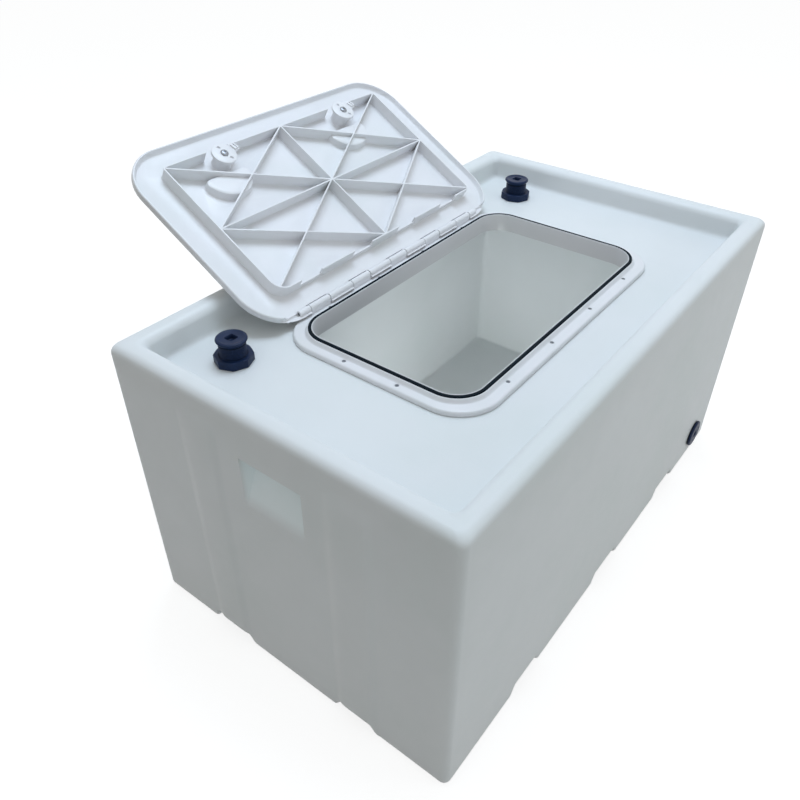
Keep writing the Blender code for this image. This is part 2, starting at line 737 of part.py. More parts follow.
def build_latch(tag, side, hinge):
    """A turn latch, locked towards -Y, on an empty that holds its resting turn."""
    axis = add_empty(tag + "_latch_axis", (side * LATCH_X, LATCH_Y - HINGE_Y, 0), hinge)
    axis.rotation_euler.z = math.radians(LATCH_REST)
    floor = LID_THICK - DISH_DEPTH
    disc_low = floor + GAP
    disc_high = LID_THICK + 0.0013
    cam_high = -RIB_HEIGHT - CAM_SLACK
    cam_low = cam_high - CAM_THICK
    length, breadth, rise = GRIP_BAR

    handle = cylinder(tag + "_latch_handle", HANDLE_RADIUS, disc_low, disc_high, PARTS)
    shaft = cylinder("shaft", SHAFT_RADIUS, cam_high + GAP, disc_low + 0.001, CUTTERS, 24)
    low = (-breadth / 2, -length / 2, disc_high - 0.001)
    high = (breadth / 2, length / 2, disc_high + rise)
    grip = block("grip_bar", low, high, CUTTERS)
    square = (-CAM_SQUARE, -CAM_SQUARE, cam_low - 0.0002)
    drive = block("drive", square, (CAM_SQUARE, CAM_SQUARE, cam_high + 0.001), CUTTERS)
    tapped = cylinder("tapped_hole", TAPPED_RADIUS, cam_low - OVERCUT, cam_low + 0.012, CUTTERS, 12)
    combine(handle, [shaft, grip, drive], "UNION")
    combine(handle, [tapped], "DIFFERENCE")
    dress(handle, HATCH_PLASTIC, axis)

    bore, rim = LATCH_SEAL
    seal_low = 2 * GAP
    seal_high = floor - GAP / 3
    seal_profile = [(rim, seal_high), (rim, seal_low), (bore, seal_low), (bore, seal_high)]
    seal = turned(tag + "_latch_seal", seal_profile, PARTS, 24)
    dress(seal, BLACK_RUBBER, axis)

    cam = cylinder(tag + "_latch_cam", CAM_RADIUS, cam_low, cam_high, PARTS)
    half = CAM_TONGUE / 2
    tongue = block("tongue", (-half, -CAM_REACH, cam_low), (half, 0, cam_high), CUTTERS)
    nub_low = (-half + NUB_INSET, -CAM_REACH + NUB_INSET / 2, cam_low - NUB_HEIGHT)
    nub = block("nub", nub_low, (half - NUB_INSET, -CAM_RADIUS - 0.0005, cam_low + 0.001), CUTTERS)
    reach = CAM_SQUARE + CAM_SLACK
    low = (-reach, -reach, cam_low - OVERCUT)
    hole = block("cam_hole", low, (reach, reach, cam_high + OVERCUT), CUTTERS)
    combine(cam, [tongue, nub], "UNION")
    combine(cam, [hole], "DIFFERENCE")
    dress(cam, HATCH_PLASTIC, axis)

    head_top = cam_low - 0.0005
    shank = LATCH_SCREW_SHANK
    head = LATCH_SCREW_HEAD
    tip = cam_low + 0.010
    profile = [(0.0, tip), (shank, tip), (shank, head_top), (head, head_top)]
    profile += [(head, head_top - 0.001), (head - 0.002, head_top - 0.0026), (0.0, head_top - 0.0028)]
    screw = turned(tag + "_latch_screw", profile, PARTS, 20, closed=False)
    dress(screw, STEEL, axis)


def build_flange_screws():
    """Countersunk screws that share one mesh."""
    top = DECK_Z + FLANGE_TOP - 0.0002
    profile = [(0.0, 0.0), (SCREW_HEAD, 0.0), (SCREW_HEAD, -0.0003), (SCREW_SHANK, -0.0022)]
    profile += [(SCREW_SHANK, -SCREW_LENGTH + 0.003), (0.0, -SCREW_LENGTH)]
    first = turned("flange_screw_01", profile, PARTS, 12, closed=False)
    dress(first, STEEL)
    for count, (x, y) in enumerate(screw_places()):
        screw = first
        if count:
            screw = bpy.data.objects.new("flange_screw_%02d" % (count + 1), first.data)
            PARTS.objects.link(screw)
        screw.location = (x, y, top)


def octagon_nut(name, low, high, axis):
    """An eight-sided lock nut with chamfered corners, over a plain round bore."""
    chamfer = 0.0015
    nut = cylinder(name, NUT_RADIUS, low, high, PARTS, NUT_SIDES)
    crown = NUT_RADIUS * math.cos(math.pi / NUT_SIDES) + 0.0006
    profile = [(0.0, high + 0.001), (crown, high + 0.001), (NUT_RADIUS + 0.001, high - chamfer)]
    profile += [(NUT_RADIUS + 0.001, low - 0.001), (0.0, low - 0.001)]
    envelope = turned("nut_envelope", profile, CUTTERS, closed=False)
    bore = BARREL_RADIUS + BARREL_SLACK
    hole = cylinder("nut_bore", bore, low - OVERCUT, high + OVERCUT, CUTTERS)
    combine(nut, [envelope], "INTERSECT")
    combine(nut, [hole], "DIFFERENCE")
    return dress(nut, PORT_PLASTIC, axis)


def square_socket(size, depth, top):
    half = size / 2
    return block("socket", (-half, -half, top - depth), (half, half, top + OVERCUT), CUTTERS)


def build_deck_port(tag, place):
    """A bulkhead port with a plug. Its empty holds the height of the deck."""
    axis = add_empty(tag + "_port_axis", (*place, DECK_Z))
    seal_top = -WALL - GAP
    seal_low = seal_top - WASHER_THICK
    flange_top = seal_low - GAP
    flange_low = flange_top - FLANGE_THICK
    profile = [(BARREL_RADIUS, BARREL_TOP), (BARREL_RADIUS, flange_top), (PORT_FLANGE, flange_top)]
    profile += [(PORT_FLANGE, flange_low), (THREAD_BORE, flange_low), (THREAD_BORE, BARREL_TOP)]
    dress(turned(tag + "_port_body", profile, PARTS), PORT_PLASTIC, axis)

    inner = BARREL_RADIUS + BARREL_SLACK
    outer = PORT_FLANGE - 0.001
    washer = [(outer, seal_top), (outer, seal_low), (inner, seal_low), (inner, seal_top)]
    dress(turned(tag + "_port_seal", washer, PARTS), BLACK_RUBBER, axis)

    octagon_nut(tag + "_port_nut", GAP, NUT_HEIGHT, axis)

    ring_low = BARREL_TOP + GAP
    ring_high = ring_low + O_RING_THICK
    bore, rim = O_RING
    ring = [(rim, ring_high), (rim, ring_low), (bore, ring_low), (bore, ring_high)]
    dress(turned(tag + "_port_o_ring", ring, PARTS), BLACK_RUBBER, axis)

    head_low = ring_high + GAP
    profile = [(0.0, PLUG_TOP), (PLUG_HEAD - 0.0035, PLUG_TOP), (PLUG_HEAD - 0.001, PLUG_TOP - 0.001)]
    profile += [(PLUG_HEAD, PLUG_TOP - 0.0028), (PLUG_HEAD, head_low), (PLUG_SHANK, head_low)]
    profile += [(PLUG_SHANK, PLUG_FOOT), (0.0, PLUG_FOOT)]
    plug = turned(tag + "_port_plug", profile, PARTS, closed=False)
    combine(plug, [square_socket(SOCKET, SOCKET_DEPTH, PLUG_TOP)], "DIFFERENCE")
    dress(plug, PORT_PLASTIC, axis)


def drain_place():
    """The drain's placing matrix: its Z axis points out of the latch side's wall."""
    place = Matrix.Translation((DRAIN_X, -WIDTH / 2, DRAIN_Z))
    return place @ Matrix.Rotation(math.radians(90), 4, "X")


def build_drain():
    """A low bulkhead port with a sunk plug, near the foot of the latch side."""
    axis = add_empty("drain_axis", (DRAIN_X, -WIDTH / 2, DRAIN_Z))
    axis.rotation_euler.x = math.radians(90)
    flange_low = DRAIN_SEAL_TOP + GAP
    profile = [(DRAIN_FLANGE - 0.0015, DRAIN_PROUD), (DRAIN_FLANGE, DRAIN_PROUD - 0.0015)]
    profile += [(DRAIN_FLANGE, flange_low), (BARREL_RADIUS, flange_low)]
    profile += [(BARREL_RADIUS, DRAIN_INNER_END), (DRAIN_BORE, DRAIN_INNER_END)]
    profile += [(DRAIN_BORE, DRAIN_SHOULDER), (THREAD_BORE, DRAIN_SHOULDER), (THREAD_BORE, DRAIN_PROUD)]
    dress(turned("drain_body", profile, PARTS), PORT_PLASTIC, axis)

    inner = BARREL_RADIUS + BARREL_SLACK
    outer = DRAIN_FLANGE - 0.0015
    washer = [(outer, DRAIN_SEAL_TOP), (outer, GAP), (inner, GAP), (inner, DRAIN_SEAL_TOP)]
    dress(turned("drain_seal", washer, PARTS), BLACK_RUBBER, axis)

    nut_high = -WALL - GAP
    octagon_nut("drain_nut", nut_high - DRAIN_NUT_HEIGHT, nut_high, axis)

    ring_low = DRAIN_SHOULDER + GAP
    ring_high = ring_low + DRAIN_O_RING_THICK
    bore, rim = DRAIN_O_RING
    ring = [(rim, ring_high), (rim, ring_low), (bore, ring_low), (bore, ring_high)]
    dress(turned("drain_o_ring", ring, PARTS), BLACK_RUBBER, axis)

    plug_top = DRAIN_PROUD - 0.0004
    profile = [(0.0, plug_top), (PLUG_SHANK - 0.001, plug_top), (PLUG_SHANK, plug_top - 0.001)]
    profile += [(PLUG_SHANK, ring_high + GAP), (0.0, ring_high + GAP)]
    plug = turned("drain_plug", profile, PARTS, closed=False)
    combine(plug, [square_socket(DRAIN_SOCKET, SOCKET_DEPTH, plug_top)], "DIFFERENCE")
    dress(plug, PORT_PLASTIC, axis)


def clear_scene():
    for old in list(bpy.data.objects):
        bpy.data.objects.remove(old)


def main():
    build_tank()
    build_frame()
    build_gasket()
    hinge = add_empty("lid_hinge", (0, HINGE_Y, HINGE_Z))
    hinge.rotation_euler.x = math.radians(-OPEN_ANGLE)
    build_lid(hinge)
    build_hinge_pin()
    build_latch("left", -1, hinge)
    build_latch("right", 1, hinge)
    build_flange_screws()
    build_deck_port("left", LEFT_PORT)
    build_deck_port("right", RIGHT_PORT)
    build_drain()


clear_scene()
PARTS = make_collection("live_fish_transport_box")
CUTTERS = make_collection("cutters")
TANK_PLASTIC = make_material("tank_plastic", (0.80, 0.84, 0.86), 0.42)
HATCH_PLASTIC = make_material("hatch_plastic", (0.82, 0.86, 0.90), 0.35)
BLACK_RUBBER = make_material("black_rubber", (0.02, 0.02, 0.022), 0.65)
PORT_PLASTIC = make_material("port_plastic", (0.035, 0.045, 0.085), 0.38)
STEEL = make_material("stainless_steel", (0.62, 0.63, 0.64), 0.30, 1.0)
main()
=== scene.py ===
"""Live fish transport box, dressed for its picture.

A moulded tank with a sunk deck, a service hatch that stands open on its hinge, two plugged deck ports
and a drain port. Metres, +Z up, with the origin in the middle of the underside. +X runs along the
length, and the latch side faces -Y. Left and right are as seen from the latch side.
"""

import json
import logging
import math
from dataclasses import dataclass
from enum import Enum
from functools import cached_property

import bmesh
import bpy
from mathutils import Matrix, Vector


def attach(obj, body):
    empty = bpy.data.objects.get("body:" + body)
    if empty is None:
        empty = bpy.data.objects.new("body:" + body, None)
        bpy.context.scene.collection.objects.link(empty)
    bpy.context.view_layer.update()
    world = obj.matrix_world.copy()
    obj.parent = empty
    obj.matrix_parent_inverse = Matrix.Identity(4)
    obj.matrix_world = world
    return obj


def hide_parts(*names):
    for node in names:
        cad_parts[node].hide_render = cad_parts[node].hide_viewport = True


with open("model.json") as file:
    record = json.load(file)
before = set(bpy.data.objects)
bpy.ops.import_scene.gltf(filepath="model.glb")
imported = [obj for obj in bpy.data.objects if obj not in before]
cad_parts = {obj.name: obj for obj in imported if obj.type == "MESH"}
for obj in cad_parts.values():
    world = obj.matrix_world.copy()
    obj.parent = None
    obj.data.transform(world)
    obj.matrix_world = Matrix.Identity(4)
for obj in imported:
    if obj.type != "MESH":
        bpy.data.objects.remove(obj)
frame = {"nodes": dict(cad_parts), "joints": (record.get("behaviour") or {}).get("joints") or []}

Point2 = tuple[float, float]
Point3 = tuple[float, float, float]
Loop = list[Point3]
Radii = tuple[float, float, float, float]
Ring = tuple[float, float, float | Radii, float]
Band = tuple[float, float, int]
Colour = tuple[float, float, float]
Piece = bpy.types.Object
Socket = bpy.types.NodeSocket
Inputs = dict[str | int, object]
Rows = list[list[bmesh.types.BMVert]]

LOG = logging.getLogger("fish_box")
GAP = 0.0003
WELD = 0.00001
AXIS = 0.0
SIDES = (-1, 1)


class Slot(Enum):
    """The record's material slots."""

    TANK = "tank_plastic"
    HATCH = "hatch_plastic"
    RUBBER = "black_rubber"
    PORT = "port_plastic"
    STEEL = "stainless_steel"


class Side(Enum):
    """The two ends of the tank, as seen from the latch side."""

    LEFT = -1
    RIGHT = 1

    @property
    def tag(self) -> str:
        """The side's word in node and body names."""
        return self.name.lower()


# Outlines and profiles


def arc(centre: Point2, radius: float, start: float, end: float, steps: int) -> list[Point2]:
    """Points on an arc.

    Args:
        centre: Middle of the arc, across and up.
        radius: Its radius.
        start: First angle, in degrees.
        end: Last angle, in degrees.
        steps: Number of stretches.

    Returns:
        The points, both ends included.
    """
    points = []
    for step in range(steps + 1):
        angle = math.radians(start + (end - start) * step / steps)
        points.append((centre[0] + radius * math.cos(angle), centre[1] + radius * math.sin(angle)))
    return points


def rounded_rectangle(half_x: float, half_y: float, radius: float | Radii, steps: int) -> list[Point2]:
    """Outline of a rounded rectangle.

    Args:
        half_x: Half its length.
        half_y: Half its width.
        radius: Corner radius, or one for each corner from the far right one on, anticlockwise.
        steps: Stretches of each corner.

    Returns:
        The points, anticlockwise.
    """
    points: list[Point2] = []
    radii = radius if isinstance(radius, tuple) else (radius,) * 4
    for (sign_x, sign_y, start), turn in zip(((1, 1, 0), (-1, 1, 90), (-1, -1, 180), (1, -1, 270)), radii):
        centre = (sign_x * (half_x - turn), sign_y * (half_y - turn))
        points += arc(centre, turn, start, start + 90, steps)
    return points


def rod(radius: float, low: float, high: float, soft: float = 0.0) -> list[Point2]:
    """Profile of a rod, with softened ends where soft is above 0.

    Args:
        radius: Its radius.
        low: Its lower end.
        high: Its upper end.
        soft: Width of the softened edges.

    Returns:
        The profile, in rising order.
    """
    if soft == 0.0:
        return [(AXIS, low), (radius, low), (radius, high), (AXIS, high)]
    foot = [(AXIS, low), (radius - soft, low), (radius, low + soft)]
    return foot + [(radius, high - soft), (radius - soft, high), (AXIS, high)]


def ease(value: float) -> float:
    """Turns 0 to 1 into a soft step, held at both ends."""
    held = min(max(value, 0.0), 1.0)
    return held * held * (3.0 - 2.0 * held)


def plateau(place: float, middle: float, half: float, slope: float) -> float:
    """A soft-sided band: 1 in its middle, falling to 0 over the slope inside each edge."""
    return ease((half - abs(place - middle)) / slope)


def stations(half: float, bands: list[Band], coarse: float) -> list[float]:
    """Grid places from -half to half, close together in the bands.

    Args:
        half: Half the stretch.
        bands: Start, end and number of stretches of each fine band.
        coarse: Longest stretch outside the bands.

    Returns:
        The places in rising order.
    """
    nearest = 0.0004
    marks = {-half, half}
    for start, end, count in bands:
        marks.update(start + (end - start) * step / count for step in range(count + 1))
    kept: list[float] = []
    for mark in sorted(marks):
        if not kept or mark - kept[-1] > nearest:
            kept.append(mark)
    places = [kept[0]]
    for low, high in zip(kept, kept[1:]):
        count = max(1, math.ceil((high - low) / coarse - 0.001))
        places += [low + (high - low) * step / count for step in range(1, count + 1)]
    return places


# Meshes


def add_object(name: str, edit: bmesh.types.BMesh) -> Piece:
    """Turns an edited mesh into an object of the scene.

    Args:
        name: The object's name.
        edit: The mesh, which is freed.

    Returns:
        The object.
    """
    mesh = bpy.data.meshes.new(name)
    edit.to_mesh(mesh)
    edit.free()
    made = bpy.data.objects.new(name, mesh)
    bpy.context.scene.collection.objects.link(made)
    return made


def weave(edit: bmesh.types.BMesh, rows: Rows, wrap: bool) -> None:
    """Adds the faces between rows of points.

    Args:
        edit: The mesh.
        rows: Rows of as many points each.
        wrap: Joins the end of each row to its start.
    """
    for low, high in zip(rows, rows[1:]):
        for i in range(len(low) if wrap else len(low) - 1):
            j = (i + 1) % len(low)
            edit.faces.new((low[i], low[j], high[j], high[i]))


def loft(name: str, loops: list[Loop], ring: bool = False) -> Piece:
    """A skin over loops of as many points each.

    Args:
        name: The object's name.
        loops: The loops, in order.
        ring: Joins the last loop to the first, in place of a cap at both ends.

    Returns:
        The object.
    """
    edit = bmesh.new()
    rows = [[edit.verts.new(point) for point in loop] for loop in loops]
    if ring:
        rows.append(rows[0])
    else:
        edit.faces.new(rows[0])
        edit.faces.new(rows[-1])
    weave(edit, rows, wrap=True)
    bmesh.ops.remove_doubles(edit, verts=edit.verts, dist=WELD / 2)
    bmesh.ops.recalc_face_normals(edit, faces=edit.faces)
    return add_object(name, edit)


def rectangle_loft(name: str, rings: list[Ring], steps: int, ring: bool = False) -> Piece:
    """A loft over rounded rectangles.

    Args:
        name: The object's name.
        rings: Half length, half width, corner radius or radii and height of each.
        steps: Stretches of each corner.
        ring: Joins the last one to the first.

    Returns:
        The object.
    """
    loops = []
    for half_x, half_y, radius, z in rings:
        loops.append([(x, y, z) for x, y in rounded_rectangle(half_x, half_y, radius, steps)])
    return loft(name, loops, ring)


def lathe(name: str, profile: list[Point2], place: Matrix, steps: int = 64, closed: bool = False) -> Piece:
    """A profile turned about the Z axis of a placing matrix.

    Args:
        name: The object's name.
        profile: Radius and height of each point. A radius of 0 lies on the axis.
        place: Where the axis stands.
        steps: Stretches of a full turn.
        closed: Joins the last point to the first.

    Returns:
        The object.
    """
    edit = bmesh.new()
    rows: Rows = []
    angles = [math.tau * step / steps for step in range(steps)]
    for radius, height in profile:
        around = angles if radius >= WELD else [0.0]
        reach = radius if radius >= WELD else 0.0
        points = [(reach * math.cos(angle), reach * math.sin(angle), height) for angle in around]
        rows.append([edit.verts.new(point) for point in points])
    if closed:
        rows.append(rows[0])
    for low, high in zip(rows, rows[1:]):
        for i in range(steps):
            j = (i + 1) % steps
            corners = [low[i % len(low)], low[j % len(low)], high[j % len(high)], high[i % len(high)]]
            face = list(dict.fromkeys(corners))
            if len(face) > 2:
                edit.faces.new(face)
    bmesh.ops.transform(edit, matrix=place, verts=edit.verts)
    bmesh.ops.recalc_face_normals(edit, faces=edit.faces)
    return add_object(name, edit)


def extrude(name: str, outline: list[Point2], low: float, high: float, place: Matrix) -> Piece:
    """A flat outline drawn out along the Z axis of a placing matrix.

    Args:
        name: The object's name.
        outline: The outline, across and up.
        low: Where it starts along the axis.
        high: Where it ends.
        place: The placing matrix.

    Returns:
        The object.
    """
    made = loft(name, [[(across, up, height) for across, up in outline] for height in (low, high)])
    made.data.transform(place)
    return made


def block(name: str, low: Point3, high: Point3, place: Matrix | None = None, edge: float = 0.0) -> Piece:
    """A box between two corners, with its edges rounded where edge is above 0.

    Args:
        name: The object's name.
        low: Its lowest corner.
        high: Its highest corner.
        place: The placing matrix, where there is one.
        edge: Width of the rounded edges.

    Returns:
        The object.
    """
    edit = bmesh.new()
    size = [high[i] - low[i] for i in range(3)]
    centre = [(high[i] + low[i]) / 2 for i in range(3)]
    bmesh.ops.create_cube(edit, size=1.0, matrix=Matrix.Translation(centre) @ Matrix.Diagonal((*size, 1.0)))
    if edge > 0.0:
        bmesh.ops.bevel(edit, geom=edit.edges[:], offset=edge, segments=3, profile=0.5, affect="EDGES")
    made = add_object(name, edit)
    made.data.transform(place or Matrix.Identity(4))
    return made


def cross_cutters(place: Matrix, half: Point2, ends: tuple[Point2, Point2]) -> list[Piece]:
    """The cutters of a cross recess.

    Args:
        place: The screw's axis, turned as the cross is.
        half: Half the width and half the length of a slot.
        ends: Low and high end of each of the two slots.

    Returns:
        The two slots' cutters.
    """
    cuts = []
    for quarter, (low, high) in enumerate(ends):
        turned = place @ Matrix.Rotation(math.radians(90 * quarter), 4, "Z")
        cuts.append(block("cross", (-half[0], -half[1], low), (*half, high), turned))
    return cuts


def bake(target: Piece) -> None:
    """Replaces an object's mesh by the one its modifiers make.

    Args:
        target: The object.
    """
    bpy.context.view_layer.update()
    seen = target.evaluated_get(bpy.context.evaluated_depsgraph_get())
    mesh = bpy.data.meshes.new_from_object(seen)
    target.modifiers.clear()
    target.data = mesh


def combine(target: Piece, others: list[Piece], operation: str) -> None:
    """Joins or cuts with one exact Boolean for each of the others, which are then removed.

    Args:
        target: The object that stays.
        others: The tools.
        operation: UNION, DIFFERENCE or INTERSECT.
    """
    for other in others:
        modifier = target.modifiers.new(operation.title(), "BOOLEAN")
        modifier.operation = operation
        modifier.solver = "EXACT"
        modifier.object = other
    bake(target)
    for other in others:
        bpy.data.objects.remove(other)


def clear_slivers(target: Piece, reach: float = WELD) -> None:
    """Takes out the slivers that a Boolean leaves, by merging points that nearly meet.

    Args:
        target: The object.
        reach: How near points meet.
    """
    edit = bmesh.new()
    edit.from_mesh(target.data)
    bmesh.ops.remove_doubles(edit, verts=edit.verts, dist=reach)
    bmesh.ops.dissolve_degenerate(edit, dist=reach, edges=edit.edges)
    edit.to_mesh(target.data)
    edit.free()


def merge(name: str, pieces: list[Piece]) -> Piece:
    """One object that holds the meshes of several, as separate shells.

    Args:
        name: The new object's name.
        pieces: The objects, which are removed.

    Returns:
        The object.
    """
    edit = bmesh.new()
    for piece in pieces:
        edit.from_mesh(piece.data)
        bpy.data.objects.remove(piece)
    return add_object(name, edit)


def round_edges(target: Piece, width: float, segments: int, angle: float) -> None:
    """Rounds the edges that are sharper than an angle.

    Args:
        target: The object.
        width: Width of the rounding.
        segments: Stretches of each rounding.
        angle: Edges sharper than this, in degrees, are rounded.
    """
    modifier = target.modifiers.new("Round", "BEVEL")
    modifier.width = width
    modifier.segments = segments
    modifier.limit_method = "ANGLE"
    modifier.angle_limit = math.radians(angle)
    modifier.use_clamp_overlap = True
    bake(target)


# Finishes


@dataclass(frozen=True)
class Pattern:
    """A cloud pattern: clouds to the metre, octaves, strength of the finer ones and its shift."""

    scale: float
    detail: float = 2.0
    roughness: float = 0.5
    shift: Point3 = (0.0, 0.0, 0.0)


@dataclass(frozen=True)
class Graph:
    """A node tree with short ways to wire it."""

    tree: bpy.types.NodeTree

    def node(self, kind: str, inputs: Inputs | None = None, **settings: object) -> bpy.types.Node:
        """Adds a node.

        Args:
            kind: The end of its type's name.
            inputs: What feeds its inputs.
            settings: Its own settings.

        Returns:
            The node.
        """
        made = self.tree.nodes.new("ShaderNode" + kind)
        for key, value in settings.items():
            setattr(made, key, value)
        self.feed(made, inputs or {})
        return made

    def feed(self, node: bpy.types.Node, inputs: Inputs) -> None:
        """Links a node's inputs to sockets, or sets them to constants.

        Args:
            node: The node.
            inputs: A socket or a constant for each input.
        """
        for key, value in inputs.items():
            if isinstance(value, Socket):
                self.tree.links.new(value, node.inputs[key])
            else:
                node.inputs[key].default_value = value

    def math(self, operation: str, *values: object) -> Socket:
        """A sum on one value or more."""
        return self.node("Math", dict(enumerate(values)), operation=operation).outputs[0]

    def scaled(self, colour: object, factor: Socket) -> Socket:
        """A colour times a factor."""
        return self.node("VectorMath", {0: colour, "Scale": factor}, operation="SCALE").outputs[0]

    def place(self) -> Socket:
        """The object's own coordinates."""
        return self.node("TexCoord").outputs["Object"]

    def noise(self, pattern: Pattern) -> Socket:
        """A cloud pattern's value, 0 to 1, on the object's own coordinates.

        Args:
            pattern: The pattern.

        Returns:
            The value.
        """
        moved = self.node("Mapping", {"Vector": self.place(), "Location": pattern.shift}).outputs[0]
        inputs = {"Scale": pattern.scale, "Detail": pattern.detail, "Roughness": pattern.roughness}
        return self.node("TexNoise", {"Vector": moved, **inputs}).outputs["Fac"]

    def spread(self, value: Socket, low: float, high: float, start: float = 0.3, end: float = 0.7) -> Socket:
        """Stretches a value's run over a range.

        Args:
            value: The value.
            low: What start becomes.
            high: What end becomes.
            start: Start of the run.
            end: Its end.

        Returns:
            The stretched value, held at both ends.
        """
        run = {"From Min": start, "From Max": end, "To Min": low, "To Max": high}
        return self.node("MapRange", {"Value": value, **run}).outputs["Result"]

    def tints(self, value: Socket, stops: list[tuple[float, Colour]]) -> Socket:
        """Colours along a pattern's value.

        Args:
            value: The pattern's value.
            stops: Place and colour of each stop.

        Returns:
            The colour.
        """
        ramp = self.node("ValToRGB", {"Fac": value})
        while len(ramp.color_ramp.elements) < len(stops):
            ramp.color_ramp.elements.new(0.5)
        for element, (position, colour) in zip(ramp.color_ramp.elements, stops):
            element.position = position
            element.color = (*colour, 1.0)
        return ramp.outputs["Color"]

    def bump(self, value: Socket, distance: float, strength: float, below: Socket | None = None) -> Socket:
        """A relief in metres from a pattern, on top of another where one is given.

        Args:
            value: The pattern's value.
            distance: Height of the relief, in metres.
            strength: Its share.
            below: The relief under it.

        Returns:
            The bent normal.
        """
        under = {} if below is None else {"Normal": below}
        inputs = {"Distance": distance, "Strength": strength, "Height": value, **under}
        return self.node("Bump", inputs).outputs["Normal"]


def new_graph(name: str) -> tuple[bpy.types.Material, Graph, bpy.types.Node]:
    """A material, its node tree and its shader.

    Args:
        name: The material's name.

    Returns:
        The material, its node tree and its shader.
    """
    material = bpy.data.materials.new(name)
    material.use_nodes = True
    return material, Graph(material.node_tree), material.node_tree.nodes["Principled BSDF"]


def tinted(colour: Colour, factor: float) -> Colour:
    """A lighter or darker tint of a colour."""
    return (colour[0] * factor, colour[1] * factor, colour[2] * factor)


@dataclass(frozen=True)
class PaintedMouthShade:
    """The upright plan of the hatch's mouth, inside which the plastic gets painted shade: a darker tint for
    the collar that lies in shade under the lip.
    """

    half: Point2
    radius: float
    tint: float

    def shade(self, graph: Graph, colour: Socket) -> Socket:
        """Darkens a colour inside the mouth, as painted shade.

        Args:
            graph: The material's node tree.
            colour: The colour to darken.

        Returns:
            The colour with the darker mouth.
        """
        corner = (self.half[0] - self.radius, self.half[1] - self.radius, 0.0)
        past = graph.node("VectorMath", {0: graph.place()}, operation="ABSOLUTE").outputs[0]
        steps = {"SUBTRACT": corner, "MAXIMUM": (0.0, 0.0, 0.0), "MULTIPLY": (1.0, 1.0, 0.0)}
        for operation, value in steps.items():
            past = graph.node("VectorMath", {0: past, 1: value}, operation=operation).outputs[0]
        length = graph.node("VectorMath", {0: past}, operation="LENGTH").outputs["Value"]
        inside = graph.math("LESS_THAN", length, self.radius)
        return graph.scaled(colour, graph.spread(inside, 1.0, self.tint, 0.0, 1.0))


@dataclass(frozen=True)
class PaintedGripGlow:
    """Painted glow: emission in the sunk hand grips' outer skin, standing in for daylight that comes through
    the thin wall.
    """

    face: float
    depth: float
    middle: Point2
    half: Point2
    colour: Colour
    strength: float

    def light(self, graph: Graph) -> Socket:
        """The colour of the painted glow: full in the grips' outer skin, black elsewhere.

        Args:
            graph: The material's node tree.

        Returns:
            The colour.
        """
        place = graph.node("SeparateXYZ", {0: graph.place()}).outputs
        normal = graph.node("NewGeometry").outputs["Normal"]
        facing = graph.node("SeparateXYZ", {0: normal}).outputs
        share = graph.math("GREATER_THAN", graph.math("MULTIPLY", place["X"], facing["X"]), 0.0)
        for axis, middle, half in zip("YZ", self.middle, self.half):
            share = graph.math("MULTIPLY", share, graph.math("COMPARE", place[axis], middle, half))
        sunk = graph.spread(graph.math("ABSOLUTE", place["X"]), 0.0, 1.0, self.face, self.face - self.depth)
        return graph.scaled(self.colour, graph.math("MULTIPLY", share, sunk))


@dataclass(frozen=True)
class MouldedPlastic:
    """Polyethylene or similar: matt, a little translucent, with soft clouds and a fine skin, and where set a
    painted shade in the hatch's mouth and a painted glow in the hand grips.
    """

    name: str
    colour: Colour
    roughness: float
    shine: float
    glow: float
    reach: float
    cloud_scale: float
    cloud_depth: float
    skin_scale: float
    skin_depth: float
    wave_depth: float
    # Painted shade: darkens the plastic inside the hatch's mouth, where the collar lies in shade.
    mouth: PaintedMouthShade | None = None
    # Painted glow: emission in the hand grips, in place of daylight through the thin wall.
    painted_grip_glow: PaintedGripGlow | None = None
    dark_cast: Colour = (0.985, 1.0, 0.99)
    cloud_stops: Point3 = (0.34, 0.52, 0.68)
    scuffs: Pattern = Pattern(38.0, 4.0, 0.6, (0.2, 5.3, 2.9))
    scuff_range: Point2 = (-0.05, 0.07)
    waves: Pattern = Pattern(7.0, 2.0, 0.4, (1.3, 0.6, 8.2))

    def build(self) -> bpy.types.Material:
        """Builds the material.

        Returns:
            The material.
        """
        material, graph, shader = new_graph(self.name)
        clouds = graph.noise(Pattern(self.cloud_scale, 3.0, 0.55, (3.1, 1.7, 0.4)))
        deep = tinted(self.colour, 1.0 - self.cloud_depth)
        dark = tuple(value * cast for value, cast in zip(deep, self.dark_cast))
        tints = (dark, self.colour, tinted(self.colour, 1.0 + self.cloud_depth))
        colour = graph.tints(clouds, list(zip(self.cloud_stops, tints)))
        # Painted shade inside the hatch's mouth, for the collar in shade under the lip.
        if self.mouth is not None:
            colour = self.mouth.shade(graph, colour)
        rough = [self.roughness + more for more in self.scuff_range]
        relief = graph.bump(graph.noise(self.waves), self.wave_depth, 1.0)
        inputs = {
            "Base Color": colour,
            "Roughness": graph.spread(graph.noise(self.scuffs), *rough),
            "Normal": graph.bump(graph.noise(Pattern(self.skin_scale)), self.skin_depth, 1.0, relief),
            "Subsurface Weight": self.glow,
            "Subsurface Radius": (1.0, 1.0, 1.0),
            "Subsurface Scale": self.reach,
            "IOR": 1.5,
            "Specular IOR Level": self.shine,
        }
        # Painted glow in the hand grips' sunk skin, as emission.
        if self.painted_grip_glow is not None:
            inputs["Emission Color"] = self.painted_grip_glow.light(graph)
            inputs["Emission Strength"] = self.painted_grip_glow.strength
        graph.feed(shader, inputs)
        return material


